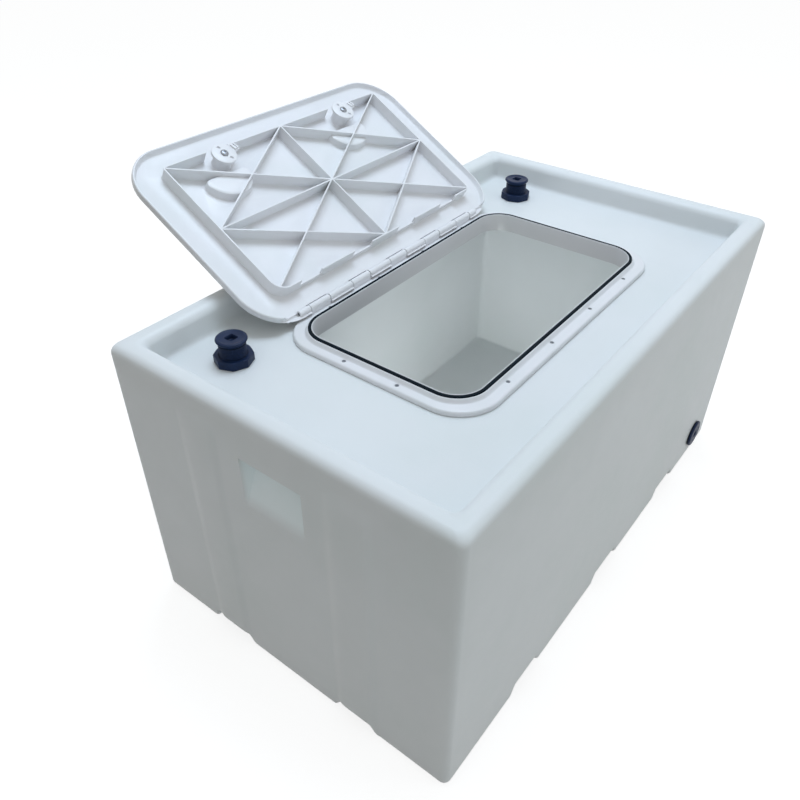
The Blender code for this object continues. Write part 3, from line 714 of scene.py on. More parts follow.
@dataclass(frozen=True)
class Rubber:
    """Black rubber with a faint bloom."""

    name: str
    colour: Colour
    roughness: float
    shine: float
    bloom: Pattern = Pattern(60.0, 4.0, 0.6, (4.0, 1.0, 2.0))
    bloom_tint: float = 1.9
    bloom_stops: Point2 = (0.35, 0.75)
    rough_range: float = 0.08
    skin: Pattern = Pattern(1400.0)
    skin_depth: float = 0.00006

    def build(self) -> bpy.types.Material:
        """Builds the material.

        Returns:
            The material.
        """
        material, graph, shader = new_graph(self.name)
        bloom = graph.noise(self.bloom)
        tints = (self.colour, tinted(self.colour, self.bloom_tint))
        low, high = self.roughness - self.rough_range, self.roughness + self.rough_range
        graph.feed(shader, {
            "Base Color": graph.tints(bloom, list(zip(self.bloom_stops, tints))),
            "Roughness": graph.spread(bloom, low, high),
            "Normal": graph.bump(graph.noise(self.skin), self.skin_depth, 0.8),
            "Specular IOR Level": self.shine,
        })
        return material


@dataclass(frozen=True)
class Steel:
    """Brushed stainless steel."""

    name: str
    colour: Colour
    roughness: float
    brush: Pattern = Pattern(900.0, 3.0, 0.6, (1.0, 2.0, 3.0))
    brush_tint: float = 0.85
    brush_stops: Point2 = (0.3, 0.7)
    rough_range: Point2 = (-0.06, 0.1)
    brush_depth: float = 0.00003

    def build(self) -> bpy.types.Material:
        """Builds the material.

        Returns:
            The material.
        """
        material, graph, shader = new_graph(self.name)
        brush = graph.noise(self.brush)
        tints = (tinted(self.colour, self.brush_tint), self.colour)
        rough = [self.roughness + more for more in self.rough_range]
        graph.feed(shader, {
            "Base Color": graph.tints(brush, list(zip(self.brush_stops, tints))),
            "Roughness": graph.spread(brush, *rough),
            "Normal": graph.bump(brush, self.brush_depth, 0.6),
            "Metallic": 1.0,
        })
        return material


TANK_FINISH = MouldedPlastic(
    "tank_moulded_plastic", (0.715, 0.737, 0.745), roughness=0.46, shine=0.4, glow=0.5, reach=0.014,
    cloud_scale=4.0, cloud_depth=0.02, skin_scale=420.0, skin_depth=0.00012, wave_depth=0.0012,
    # Painted glow: emission in the hand grips' sunk skin stands in for daylight through the thin wall.
    painted_grip_glow=PaintedGripGlow(
        face=0.4992, depth=0.006, middle=(-0.0085, 0.3945), half=(0.0552, 0.0430),
        colour=(0.70, 0.98, 1.0), strength=0.065,
    ),
)
HATCH_FINISH = MouldedPlastic(
    "hatch_moulded_plastic", (0.740, 0.742, 0.762), roughness=0.34, shine=0.45, glow=0.2, reach=0.004,
    cloud_scale=9.0, cloud_depth=0.015, skin_scale=900.0, skin_depth=0.00005, wave_depth=0.0002,
    # Painted shade: inside the mouth the collar is painted at 0.72 of its brightness.
    mouth=PaintedMouthShade(half=(0.2731, 0.1491), radius=0.0451, tint=0.72),
)
PORT_FINISH = MouldedPlastic(
    "port_moulded_plastic", (0.008, 0.019, 0.056), roughness=0.40, shine=0.15, glow=0.0, reach=0.001,
    cloud_scale=45.0, cloud_depth=0.12, skin_scale=1500.0, skin_depth=0.00006, wave_depth=0.0001,
)
RUBBER_FINISH = Rubber("gasket_rubber", (0.002, 0.006, 0.010), roughness=0.6, shine=0.08)
STEEL_FINISH = Steel("brushed_stainless_steel", (0.27, 0.29, 0.32), roughness=0.34)


@dataclass
class Paintbox:
    """Builds each finish once and hands it out by slot."""

    materials: dict[Slot, bpy.types.Material]

    @classmethod
    def filled(cls) -> "Paintbox":
        """Builds all the finishes.

        Returns:
            The paintbox.
        """
        finishes = {
            Slot.TANK: TANK_FINISH,
            Slot.HATCH: HATCH_FINISH,
            Slot.RUBBER: RUBBER_FINISH,
            Slot.PORT: PORT_FINISH,
            Slot.STEEL: STEEL_FINISH,
        }
        return cls({slot: finish.build() for slot, finish in finishes.items()})

    def paint(self, piece: Piece, slot: Slot) -> None:
        """Gives a piece the finish of a slot."""
        piece.data.materials.clear()
        piece.data.materials.append(self.materials[slot])


@dataclass
class SubAssembly:
    """What comes apart as one unit."""

    paintbox: Paintbox

    def fit(self, piece: Piece, body: str, slot: Slot, nodes: list[str], angle: float = 35.0) -> None:
        """Finishes a piece: its shading, its material, its body and the nodes it stands for.

        Args:
            piece: The piece, in place.
            body: The body that carries it.
            slot: Its material slot.
            nodes: The nodes that it replaces.
            angle: Edges sharper than this, in degrees, stay sharp.
        """
        piece.data.name = piece.name
        piece.data.shade_smooth()
        piece.data.set_sharp_from_angle(angle=math.radians(angle))
        self.paintbox.paint(piece, slot)
        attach(piece, body)
        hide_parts(*nodes)
        LOG.info("%s: %d faces, rides on %s", piece.name, len(piece.data.polygons), body)

    def keep(self, node: str, slot: Slot) -> None:
        """Gives a node that stays in view its finish."""
        self.paintbox.paint(frame["nodes"][node], slot)


# The tank


@dataclass(frozen=True)
class Groove:
    """A trapezium groove: where its middle runs and its width at the mouth."""

    middle: float
    width: float


@dataclass
class TankShell(SubAssembly):
    """The tank moulding, in one skin of even wall: underside, walls, hollow rim, deck and inside."""

    length: float = 1.000
    width: float = 0.600
    height: float = 0.510
    wall: float = 0.010
    corner_radius: float = 0.012
    rim_width: float = 0.036
    rim_round: float = 0.014
    foot_round: float = 0.012
    foot_fine: float = 0.08
    deck_drop: float = 0.045
    deck_fillet: float = 0.009
    deck_shares: tuple[float, ...] = (0.12, 0.35, 0.6, 0.85)
    floor_top: float = 0.024
    floor_fillet: float = 0.005
    hatch_hole: Point3 = (0.281, 0.157, 0.053)
    hatch_edge: float = 0.0015
    groove_depth: float = 0.018
    groove_slope: float = 0.014
    cross_grooves: tuple[Groove, ...] = (Groove(-0.2815, 0.090), Groove(0.269, 0.100))
    long_grooves: tuple[Groove, ...] = (Groove(-0.1335, 0.086), Groove(0.1305, 0.098))
    middle_notch: Groove = Groove(0.0005, 0.104)
    notch_end: float = 0.1305
    groove_fade: float = 0.085
    bands: tuple[Groove, ...] = (Groove(-0.139, 0.086), Groove(0.125, 0.082))
    band_proud: float = 0.0035
    band_slope: float = 0.020
    band_top: float = 0.450
    band_end: float = 0.480
    grip: Groove = Groove(-0.0085, 0.110)
    grip_bottom: float = 0.354
    grip_back: float = 0.427
    grip_top: float = 0.437
    grip_depth: float = 0.032
    grip_edge: float = 0.004
    port_holes: tuple[Point2, ...] = ((-0.376, 0.182), (0.392, 0.169))
    drain_hole: Point2 = (0.4075, 0.058)
    hole_radius: float = 0.021
    screw_hole: float = 0.0026
    corner_steps: int = 8
    cross_steps: int = 8
    long_steps: int = 6
    band_steps: int = 5
    coarse: Point3 = (0.020, 0.015, 0.018)

    @property
    def deck(self) -> float:
        """Height of the deck."""
        return self.height - self.deck_drop

    @property
    def base(self) -> Point2:
        """Half sizes of the rectangle on which the corners' middles lie."""
        return (self.length / 2 - self.corner_radius, self.width / 2 - self.corner_radius)

    def rise(self, x: float, y: float) -> float:
        """How far the grooves lift the underside at a point of the plan.

        Args:
            x: Along the length.
            y: Across.

        Returns:
            The lift in metres.
        """
        notches = (self.middle_notch,) if abs(y) > self.notch_end else ()
        crossed = [(x, groove) for groove in (*self.cross_grooves, *notches)]
        crossed += [(y, groove) for groove in self.long_grooves]
        slope = self.groove_slope
        return self.groove_depth * max(plateau(at, cut.middle, cut.width / 2, slope) for at, cut in crossed)

    def band_rise(self, y: float, z: float) -> float:
        """How far the bands stand proud of an end face.

        Args:
            y: Across.
            z: Up.

        Returns:
            The height of the band.
        """
        run_out = 1.0 - ease((z - self.band_top) / (self.band_end - self.band_top))
        shares = [plateau(y, band.middle, band.width / 2, self.band_slope) for band in self.bands]
        return self.band_proud * run_out * max(shares)

    def grip_depth_at(self, y: float, z: float, more: float = 0.0) -> float:
        """How far the hand grip sinks an end face.

        Args:
            y: Across.
            z: Up.
            more: Extra reach, for the bulge inside.

        Returns:
            The depth.
        """
        bottom = self.grip_bottom - 1.6 * more
        back = self.grip_back - more / 2
        top = self.grip_top + more
        wedge = min(max((z - bottom) / (back - bottom), 0.0), 1.0)
        closed = 1.0 - ease((z - top + self.grip_edge) / self.grip_edge)
        half = self.grip.width / 2 + more
        return self.grip_depth * wedge * closed * plateau(y, self.grip.middle, half, self.grip_edge)

    def fine_edges(self, grooves: tuple[Groove, ...], slope: float, steps: int) -> list[Band]:
        """The close columns inside the sides of grooves, or outside them with a slope below 0.

        Args:
            grooves: The grooves, bands or grips.
            slope: Width of their sides.
            steps: Columns in each side.

        Returns:
            A close band for each side.
        """
        fine = []
        for groove in grooves:
            for sign in SIDES:
                edge = groove.middle + sign * groove.width / 2
                inner = edge - sign * slope
                fine.append((min(inner, edge), max(inner, edge), steps))
        return fine

    @cached_property
    def stretches(self) -> tuple[list[float], list[float]]:
        """Places of the mesh's columns along the length and across.

        Returns:
            The places along the length, and those across.
        """
        half_x, half_y = self.base
        along = self.fine_edges((*self.cross_grooves, self.middle_notch), self.groove_slope, self.cross_steps)
        across = self.fine_edges(self.long_grooves, self.groove_slope, self.long_steps)
        across += self.fine_edges(self.bands, self.band_slope, self.band_steps)
        across += self.fine_edges((self.grip,), 1.2 * self.grip_edge, 6)
        across += self.fine_edges((self.grip,), -1.2 * self.wall, 5)
        return stations(half_x, along, self.coarse[0]), stations(half_y, across, self.coarse[1])

    @cached_property
    def heights(self) -> list[float]:
        """Heights of the wall's rows between the foot's round and the rim's.

        Returns:
            The heights in rising order.
        """
        low = self.foot_round
        high = self.height - self.rim_round
        middle = (low + high) / 2
        top = self.grip_top
        bands = [
            (low, self.foot_fine, 6),
            (self.grip_bottom - 0.020, self.grip_bottom + 0.012, 10),
            (self.grip_back - 0.010, top - self.grip_edge, 6),
            (top - self.grip_edge, top + 0.0005, 9),
            (top + 0.0005, top + 0.012, 8),
            (self.band_top - 0.002, self.band_end + 0.001, 8),
        ]
        moved = [(start - middle, end - middle, count) for start, end, count in bands]
        return [place + middle for place in stations(high - middle, moved, self.coarse[2])][1:-1]

    @cached_property
    def columns(self) -> list[tuple[Point2, Point2]]:
        """Each column's foot on the base rectangle and its outward direction, anticlockwise.

        Returns:
            Foot and direction of each column.
        """
        along, across = self.stretches
        half_x, half_y = self.base
        sides = [
            ([(half_x, y) for y in across], (1.0, 0.0), 0.0),
            ([(x, half_y) for x in reversed(along)], (0.0, 1.0), 90.0),
            ([(-half_x, y) for y in reversed(across)], (-1.0, 0.0), 180.0),
            ([(x, -half_y) for x in along], (0.0, -1.0), 270.0),
        ]
        columns = []
        for feet, out, start in sides:
            turn = arc((0.0, 0.0), 1.0, start, start + 90.0, self.corner_steps)[1:-1]
            columns += [(foot, out) for foot in feet] + [(feet[-1], direction) for direction in turn]
        return columns

    def ring(self, half_x: float, half_y: float, radius: float, z: float) -> Loop:
        """One loop through all the columns, as a rounded rectangle.

        Args:
            half_x: Half its length.
            half_y: Half its width.
            radius: Its corner radius.
            z: Its height.

        Returns:
            The loop.
        """
        base_x, base_y = self.base
        loop = []
        for (foot_x, foot_y), (out_x, out_y) in self.columns:
            x = foot_x * (half_x - radius) / base_x + out_x * radius
            y = foot_y * (half_y - radius) / base_y + out_y * radius
            loop.append((x, y, z))
        return loop

    def plain_ring(self, inset: float, z: float, radius: float | None = None) -> Loop:
        """A loop at an inset from the outer wall, without relief."""
        turn = self.corner_radius if radius is None else radius
        return self.ring(self.length / 2 - inset, self.width / 2 - inset, turn, z)

    def outer_ring(self, inset: float, z: float, relief: float) -> Loop:
        """A loop of the outer wall or its foot, with the grooves, bands and grips worked in.

        Args:
            inset: Distance inside the outer wall.
            z: Height before the grooves lift it.
            relief: Share of the end faces' relief.

        Returns:
            The loop.
        """
        lift_share = 1.0 - ease((z - self.foot_round) / self.groove_fade)
        loop = []
        plain = self.plain_ring(inset, z, self.corner_radius - inset)
        for (x, y, _), (_, (out_x, _)) in zip(plain, self.columns):
            up = z + self.rise(x, y) * lift_share
            if abs(out_x) == 1.0:
                x += out_x * relief * (self.band_rise(y, up) - self.grip_depth_at(y, z))
            loop.append((x, y, up))
        return loop

    def inner_ring(self, z: float) -> Loop:
        """A loop of the wall's inner side, with the grips' bulges.

        Args:
            z: Its height.

        Returns:
            The loop.
        """
        loop = []
        for (x, y, _), (_, (out_x, _)) in zip(self.plain_ring(self.wall, z), self.columns):
            if abs(out_x) == 1.0:
                x -= out_x * self.grip_depth_at(y, z, self.wall)
            loop.append((x, y, z))
        return loop

    def deck_rings(self) -> list[Loop]:
        """The deck from its fillet to the hatch's hole, the hole's edge and the way back under the rim.

        Returns:
            The loops, from the rim inwards and back.
        """
        inset = self.rim_width + self.deck_fillet
        start = (self.length / 2 - inset, self.width / 2 - inset, self.corner_radius)
        edge = self.hatch_edge
        under = self.deck - self.wall
        rings = []
        for share in self.deck_shares:
            rings.append(self.ring(*(a + (b - a) * share for a, b in zip(start, self.hatch_hole)), self.deck))
        rings.append(self.ring(*(size + edge for size in self.hatch_hole), self.deck))
        rings += [self.ring(*self.hatch_hole, self.deck - edge), self.ring(*self.hatch_hole, under)]
        inner_rim = self.rim_width - self.wall
        top = self.height - self.wall
        rings += [self.plain_ring(inner_rim, z) for z in (under, top)]
        return rings + [self.plain_ring(self.wall, top)]

    def loops(self) -> list[Loop]:
        """All the loops, from the edge of the underside's plate round to the edge of the floor's plate.

        Returns:
            The loops in order.
        """
        foot = self.foot_round
        corner = arc((foot, foot), foot, 270, 180, 8)
        made = [self.outer_ring(inset, z, 1.0 - inset / foot) for inset, z in corner]
        made += [self.outer_ring(0.0, z, 1.0) for z in self.heights]
        turn = self.rim_round
        top = self.height - turn
        fillet = self.deck_fillet
        rim = arc((turn, top), turn, 180, 90, 9) + arc((self.rim_width - turn, top), turn, 90, 0, 9)
        rim += arc((self.rim_width + fillet, self.deck + fillet), fillet, 180, 270, 7)
        made += [self.plain_ring(*at) for at in rim] + self.deck_rings()
        fillet = self.floor_fillet
        bottom = self.floor_top + fillet
        made += [self.inner_ring(z) for z in reversed(self.heights) if z > bottom + 0.001]
        made += [self.plain_ring(*at) for at in arc((self.wall + fillet, bottom), fillet, 180, 270, 6)]
        return made + [self.ring(*self.floor_half, 0.0, self.floor_top)]

    @property
    def floor_half(self) -> Point2:
        """Half sizes of the floor's plate, inside the fillet and the corners."""
        inset = self.wall + self.floor_fillet + self.corner_radius
        return (self.length / 2 - inset, self.width / 2 - inset)

    def build(self) -> None:
        """Builds the tank: the skin of the loops, and the grids of the underside and the floor."""
        edit = bmesh.new()
        weave(edit, [[edit.verts.new(point) for point in loop] for loop in self.loops()], wrap=True)
        along, across = self.stretches
        weave(edit, [[edit.verts.new((x, y, self.rise(x, y))) for x in along] for y in across], wrap=False)
        wide, deep = (half / places[-1] for half, places in zip(self.floor_half, self.stretches))
        plate = [[(x * wide, y * deep, self.floor_top) for x in along] for y in across]
        weave(edit, [[edit.verts.new(point) for point in row] for row in plate], wrap=False)
        bmesh.ops.remove_doubles(edit, verts=edit.verts, dist=WELD)
        bmesh.ops.dissolve_degenerate(edit, edges=edit.edges, dist=WELD)
        bmesh.ops.recalc_face_normals(edit, faces=edit.faces)
        open_edges = sum(1 for line in edit.edges if len(line.link_faces) != 2)
        LOG.info("tank skin: %d faces, %d open edges", len(edit.faces), open_edges)
        tank = add_object("tank_shell", edit)
        combine(tank, [self.hole_tool()], "DIFFERENCE")
        self.fit(tank, "tank", Slot.TANK, ["tank_body"], 50.0)

    def hole_tool(self) -> Piece:
        """One cutter for the ports', the drain's and the flange screws' holes.

        Returns:
            The cutter.
        """
        reach = 2 * self.wall
        wide = rod(self.hole_radius, -reach, reach)
        narrow = rod(self.screw_hole, -reach, reach)
        x, z = self.drain_hole
        drain = Matrix.Translation((x, -self.width / 2, z)) @ Matrix.Rotation(math.radians(90), 4, "X")
        tools = [lathe("port_hole", wide, self.on_deck(at), 48) for at in self.port_holes]
        tools.append(lathe("drain_hole", wide, drain, 48))
        tools += [lathe("screw_hole", narrow, self.on_deck(at), 16) for at in screw_places()]
        return merge("hole_tool", tools)

    def on_deck(self, at: Point2) -> Matrix:
        """A placing matrix on the deck."""
        return Matrix.Translation((*at, self.deck))


# Sizes that the hatch's pieces share. SOFT softens small edges, PAST and FAR carry a cutter past a face,
# and OUTSIDE lies beyond the lid, along and across.

DECK = 0.465
HINGE = (0.0, 0.176, DECK + 0.0175)
UNDER_LID = HINGE[2]
KNUCKLE_RADIUS = 0.0055
KNUCKLE_PITCH = 0.100
KNUCKLE_COUNT = 5
HINGE_BORE = 0.0029
LID_SLOT = 0.047
END_KNUCKLE = 0.022
LATCH_X = 0.148
LATCH_Y = -0.1195
STEM_RADIUS = 0.0155
LID_THICK = 0.0045
RIB_HEIGHT = 0.021
GASKET_HALF = (0.2767, 0.1527)
GASKET_RADIUS = 0.0487
END_SCREWS = (0.2885, 0.048)
SIDE_SCREWS = 0.164
SIDE_SCREW_PLACES = (-0.187, -0.062, 0.062, 0.187)
SOFT = 0.0006
PAST = 0.01
FAR = 0.03
OUTSIDE = (0.4, 0.3)
BORE_EDGE = 0.0001
CORNER_STEPS = 16


def screw_places() -> list[Point2]:
    """The plan positions of the flange screws, in the order of their nodes."""
    places = [(sx * END_SCREWS[0], sy * END_SCREWS[1]) for sx in SIDES for sy in SIDES]
    return places + [(x, sy * SIDE_SCREWS) for sy in SIDES for x in SIDE_SCREW_PLACES]


def frame_knuckles() -> list[float]:
    """Middles of the frame's knuckles along the hinge."""
    return [KNUCKLE_PITCH * (count - KNUCKLE_COUNT // 2) for count in range(KNUCKLE_COUNT)]


def offset_ring(out: float, z: float) -> Ring:
    """A ring at a distance outside the gasket's centre line, at a height above the deck."""
    return (GASKET_HALF[0] + out, GASKET_HALF[1] + out, GASKET_RADIUS + out, DECK + z)


def opened() -> Matrix:
    """Turns what is built with the lid shut to the place where the lid rests.

    Returns:
        The turn about the hinge, from shut to open.
    """
    joint = next(joint for joint in frame["joints"] if joint["name"] == "lid_hinge")
    place = Vector(joint["pos_m"])
    turn = Matrix.Rotation(-math.radians(joint["range_deg"][1]), 4, Vector(joint["axis"]))
    return Matrix.Translation(place) @ turn @ Matrix.Translation(-place)


def barrel(name: str, start: float, end: float, radius: float, edge: float) -> Piece:
    """A round bar along the hinge's axis with softened ends.

    Args:
        name: The object's name.
        start: Where it starts along the hinge.
        end: Where it ends.
        radius: Its radius.
        edge: Width of the softened edges.

    Returns:
        The object.
    """
    half = (end - start) / 2
    middle = Matrix.Translation(((start + end) / 2, HINGE[1], HINGE[2]))
    return lathe(name, rod(radius, -half, half, edge), middle @ Matrix.Rotation(math.radians(90), 4, "Y"), 32)


def hinge_bore() -> Piece:
    """The cutter for the pin's hole through all the knuckles."""
    return barrel("bore", -OUTSIDE[1], OUTSIDE[1], HINGE_BORE, BORE_EDGE)


@dataclass
class HatchFrame(SubAssembly):
    """The frame on the deck: flange, gasket seat between two lips, collar and hinge knuckles."""

    flange_half: Point2 = (0.2985, 0.178)
    flange_radius: float = 0.068
    flange_top: float = 0.008
    flange_round: float = 0.0034
    lip_top: float = 0.0145
    inner_lip_top: float = 0.0165
    seat: float = 0.006
    seat_under: float = 0.003
    half_seat: float = 0.0026
    lip_wall: float = 0.0019
    inner_lip_wall: float = 0.0017
    lip_step: float = 0.0013
    shoulder: float = 0.0040
    shoulder_steps: int = 7
    inner_wall: float = 0.0025
    collar_offset: float = 0.0008
    collar_wall: float = 0.0025
    collar_foot: float = -0.016
    keeper_half: float = 0.022
    keeper_deep: float = 0.0133
    keeper_low: float = -0.0127
    keeper_high: float = -0.0034
    knuckle_half: float = 0.022
    knuckle_edge: float = 0.0006
    foot_half: float = 0.0051
    sink: tuple[Point2, ...] = ((0.0026, -0.03), (0.0026, -0.0024), (0.0036, 0.0002), (0.0040, 0.004))

    def build(self) -> None:
        """Builds the frame."""
        piece = rectangle_loft("hatch_surround", self.rings(), CORNER_STEPS, ring=True)
        joined = []
        half = self.knuckle_half
        for x in frame_knuckles():
            joined.append(barrel("knuckle", x - half, x + half, KNUCKLE_RADIUS, self.knuckle_edge))
            low = (x - half + 0.0004, HINGE[1] - self.foot_half, DECK + self.flange_top / 5)
            high = (x + half - 0.0004, HINGE[1] + self.foot_half, HINGE[2])
            joined.append(block("knuckle_foot", low, high))
        combine(piece, joined, "UNION")
        combine(piece, [merge("frame_tools", self.tools())], "DIFFERENCE")
        self.fit(piece, "tank", Slot.HATCH, ["hatch_frame"])

    def tools(self) -> list[Piece]:
        """The cutters for the screws' sinks, the pin's bore and the windows that the cams reach under.

        Returns:
            The cutters.
        """
        tools = []
        sink = [(AXIS, self.sink[0][1]), *self.sink, (AXIS, self.sink[-1][1])]
        for x, y in screw_places():
            tools.append(lathe("screw_sink", sink, Matrix.Translation((x, y, DECK + self.flange_top)), 24))
        tools.append(hinge_bore())
        outer = -GASKET_HALF[1] - self.collar_offset + 0.0002
        for x in (-LATCH_X, LATCH_X):
            low = (x - self.keeper_half, outer, DECK + self.keeper_low)
            high = (x + self.keeper_half, outer + self.keeper_deep, DECK + self.keeper_high)
            tools.append(block("keeper_window", low, high))
        return tools

    def rings(self) -> list[Ring]:
        """The section of the frame, from its foot outside over both lips to the collar.

        Returns:
            The rings in order.
        """
        flange_x, flange_y = self.flange_half
        turn = self.flange_round
        rings = [(flange_x, flange_y, self.flange_radius, DECK + GAP)]
        for across, up in arc((-turn, -turn), turn, 0, 90, 5):
            z = DECK + self.flange_top + up
            rings.append((flange_x + across, flange_y + across, self.flange_radius + across, z))
        seat = self.half_seat
        outer = seat + self.lip_wall
        inner = -seat - self.inner_lip_wall
        lip = self.lip_top
        low_lip = self.inner_lip_top
        collar = self.collar_offset
        foot = self.collar_foot
        under = self.seat_under
        edge = lip - self.lip_step
        for step in range(self.shoulder_steps + 1):
            down = 1.0 - step / self.shoulder_steps
            z = self.flange_top + (edge - self.flange_top) * (1.0 - down) ** 2
            rings.append(offset_ring(outer + 0.0004 + self.shoulder * down, z))
        section = [(outer, edge + 0.0004), (outer, lip - SOFT), (outer - SOFT / 3, lip - SOFT / 3)]
        section += [(outer - SOFT, lip), (seat + SOFT, lip), (seat, lip - SOFT), (seat, self.seat)]
        section += [(-seat, self.seat), (-seat, low_lip - SOFT), (-seat - SOFT, low_lip)]
        section += [(inner + SOFT, low_lip), (inner + SOFT / 3, low_lip - SOFT / 3), (inner, low_lip - SOFT)]
        section += [(inner, foot), (inner + self.inner_wall, foot), (inner + self.inner_wall, under)]
        section += [(collar, under), (collar, foot)]
        section += [(collar + self.collar_wall, foot), (collar + self.collar_wall, GAP)]
        return rings + [offset_ring(*point) for point in section]


@dataclass
class HatchGasket(SubAssembly):
    """The rubber seal in the frame's seat, with a rounded crown."""

    half: float = 0.0024
    foot: float = 0.0063
    shoulder: float = 0.0157
    crown: float = 0.0170

    def build(self) -> None:
        """Builds the gasket."""
        rise = self.crown - self.shoulder
        rings = [offset_ring(self.half, self.foot)]
        for across, up in arc((0.0, 0.0), 1.0, 0, 180, 10):
            rings.append(offset_ring(across * self.half, self.shoulder + up * rise))
        rings.append(offset_ring(-self.half, self.foot))
        piece = rectangle_loft("hatch_seal_ring", rings, CORNER_STEPS, ring=True)
        self.fit(piece, "tank", Slot.RUBBER, ["hatch_gasket"], 50.0)


@dataclass
class HatchLid(SubAssembly):
    """The lid: a panel with a turned-down lip, a ribbed box under it, knuckles and latch stems."""

    half: Point2 = (0.315, 0.185)
    radius: float = 0.075
    edge_round: float = 0.004
    lip: float = 0.009
    lip_wall: float = 0.0036
    lip_round: float = 0.0026
    lip_slope: float = 0.0045
    lip_steps: int = 6
    lip_end: float = 0.172
    skirt_half: Point2 = (0.2592, 0.1385)
    skirt_radii: Radii = (0.009, 0.025, 0.008, 0.008)
    rib_thick: float = 0.0026
    rib_root: float = 0.0022
    flush_step: float = 0.00003
    notch_places: tuple[float, ...] = (-0.187, -0.060, 0.060, 0.187)
    notch_width: float = 0.047
    notch_depth: float = 0.012
    mouth_half: float = 0.0245
    slot_depth: float = 0.007
    knuckle_over: float = 0.0005
    knuckle_edge: float = 0.0002
    stem_inset: float = 0.0008
    stem_flare: tuple[Point2, ...] = ((0.0002, -0.003), (0.0008, -0.0008), (0.003, 0.0002), (0.003, 0.0031))
    dish_radius: float = 0.0262
    dish_depth: float = 0.002
    shaft_bore: float = 0.0064
    seal_seat: float = 0.0095
    lift_shift: float = -0.016
    lift_y: float = -0.094
    lift_radius: float = 0.047
    lift_corner: float = 0.010
    lift_depth: float = 0.0105
    lift_wall: float = 0.003
    boss_root: tuple[Point2, ...] = (
        (-0.0035, 0.0012), (-0.0034, 0.0001), (-0.0014, -0.0006), (-0.0002, -0.0024)
    )
    boss_floor: tuple[Point2, ...] = ((0.0004, 0.004), (0.0012, 0.0016), (0.0030, 0.0004), (0.0055, 0.0))
    hollow_mouth: tuple[Point2, ...] = ((-0.0012, 0.004), (-0.0012, 0.0004), (0.0, -0.0012))
    hollow_floor: tuple[Point2, ...] = ((0.001, 0.003), (0.0018, 0.0008), (0.004, 0.0))

    def build(self) -> None:
        """Builds the lid shut, then opens it."""
        lid = self.panel()
        combine(lid, self.ribs(), "UNION")
        combine(lid, self.cutters(), "DIFFERENCE")
        self.add_knuckles(lid)
        lid.data.transform(opened())
        self.fit(lid, "lid", Slot.HATCH, ["hatch_lid"], 32.0)

    def panel(self) -> Piece:
        """The flat panel with its turned-down lip.

        Returns:
            The panel.
        """
        half_x, half_y = self.half
        turn = self.edge_round
        bend = self.lip_round
        wall = self.lip_wall
        section = arc((-turn, LID_THICK - turn), turn, 90, 0, 6)
        section += arc((-bend, -self.lip + bend), bend, 0, -90, 6)
        section += [(-wall + SOFT, -self.lip), (-wall + SOFT / 4, -self.lip + SOFT / 4)]
        for step in range(self.lip_steps + 1):
            along = step / self.lip_steps
            section.append((-wall - self.lip_slope * along, -(self.lip - SOFT) * (1.0 - along) ** 2))
        rings = [(half_x + out, half_y + out, self.radius + out, UNDER_LID + z) for out, z in section]
        return rectangle_loft("lid_panel", rings, CORNER_STEPS)

    def wall_section(self, low: float, high: float) -> list[Point2]:
        """Section of a rib: a softened crest below and a flared root at the panel.

        Args:
            low: Height of the crest.
            high: Height where it ends inside the panel.

        Returns:
            The outline, across and up.
        """
        half = self.rib_thick / 2
        root = self.rib_root
        right = [
            (half - SOFT, low),
            (half - SOFT / 4, low + SOFT / 4),
            (half, low + SOFT),
            (half + 0.0002, UNDER_LID - root),
            (half + root / 4, UNDER_LID - root / 4),
            (half + root, UNDER_LID + 0.0001),
            (half + root, high),
        ]
        return right + [(-across, up) for across, up in reversed(right)]

    def rib(self, start: Point2, end: Point2, low: float, high: float) -> Piece:
        """A straight rib between two points of the plan.

        Args:
            start: Where its middle line starts.
            end: Where it ends.
            low: Height of the crest.
            high: Height where it ends inside the panel.

        Returns:
            The rib.
        """
        along = math.atan2(end[1] - start[1], end[0] - start[0])
        length = math.dist(start, end)
        centre = ((start[0] + end[0]) / 2, (start[1] + end[1]) / 2, 0.0)
        upright = Matrix(((0, 0, 1, 0), (1, 0, 0, 0), (0, 1, 0, 0), (0, 0, 0, 1)))
        place = Matrix.Translation(centre) @ Matrix.Rotation(along, 4, "Z") @ upright
        return extrude("rib", self.wall_section(low, high), -length / 2, length / 2, place)

    @property
    def skirt_middle(self) -> Point2:
        """Half sizes of the skirt's centre line."""
        return (self.skirt_half[0] - self.rib_thick / 2, self.skirt_half[1] - self.rib_thick / 2)

    def rib_lines(self) -> list[tuple[Point2, Point2]]:
        """The ribs' lines: mid-lines, diagonals and rhombus.

        Returns:
            Start and end of each.
        """
        mid_x, mid_y = self.skirt_middle
        corners = []
        for (sign_x, sign_y), radius in zip(((1, 1), (-1, 1), (-1, -1), (1, -1)), self.skirt_radii):
            inset = radius * (1 - math.sqrt(0.5))
            corners.append((sign_x * (mid_x - inset), sign_y * (mid_y - inset)))
        lines = [((-mid_x, 0.0), (mid_x, 0.0)), ((0.0, -mid_y), (0.0, mid_y))]
        lines += [(corners[2], corners[0]), (corners[1], corners[3])]
        return lines + [((sx * mid_x, 0.0), (0.0, sy * mid_y)) for sx in SIDES for sy in SIDES]

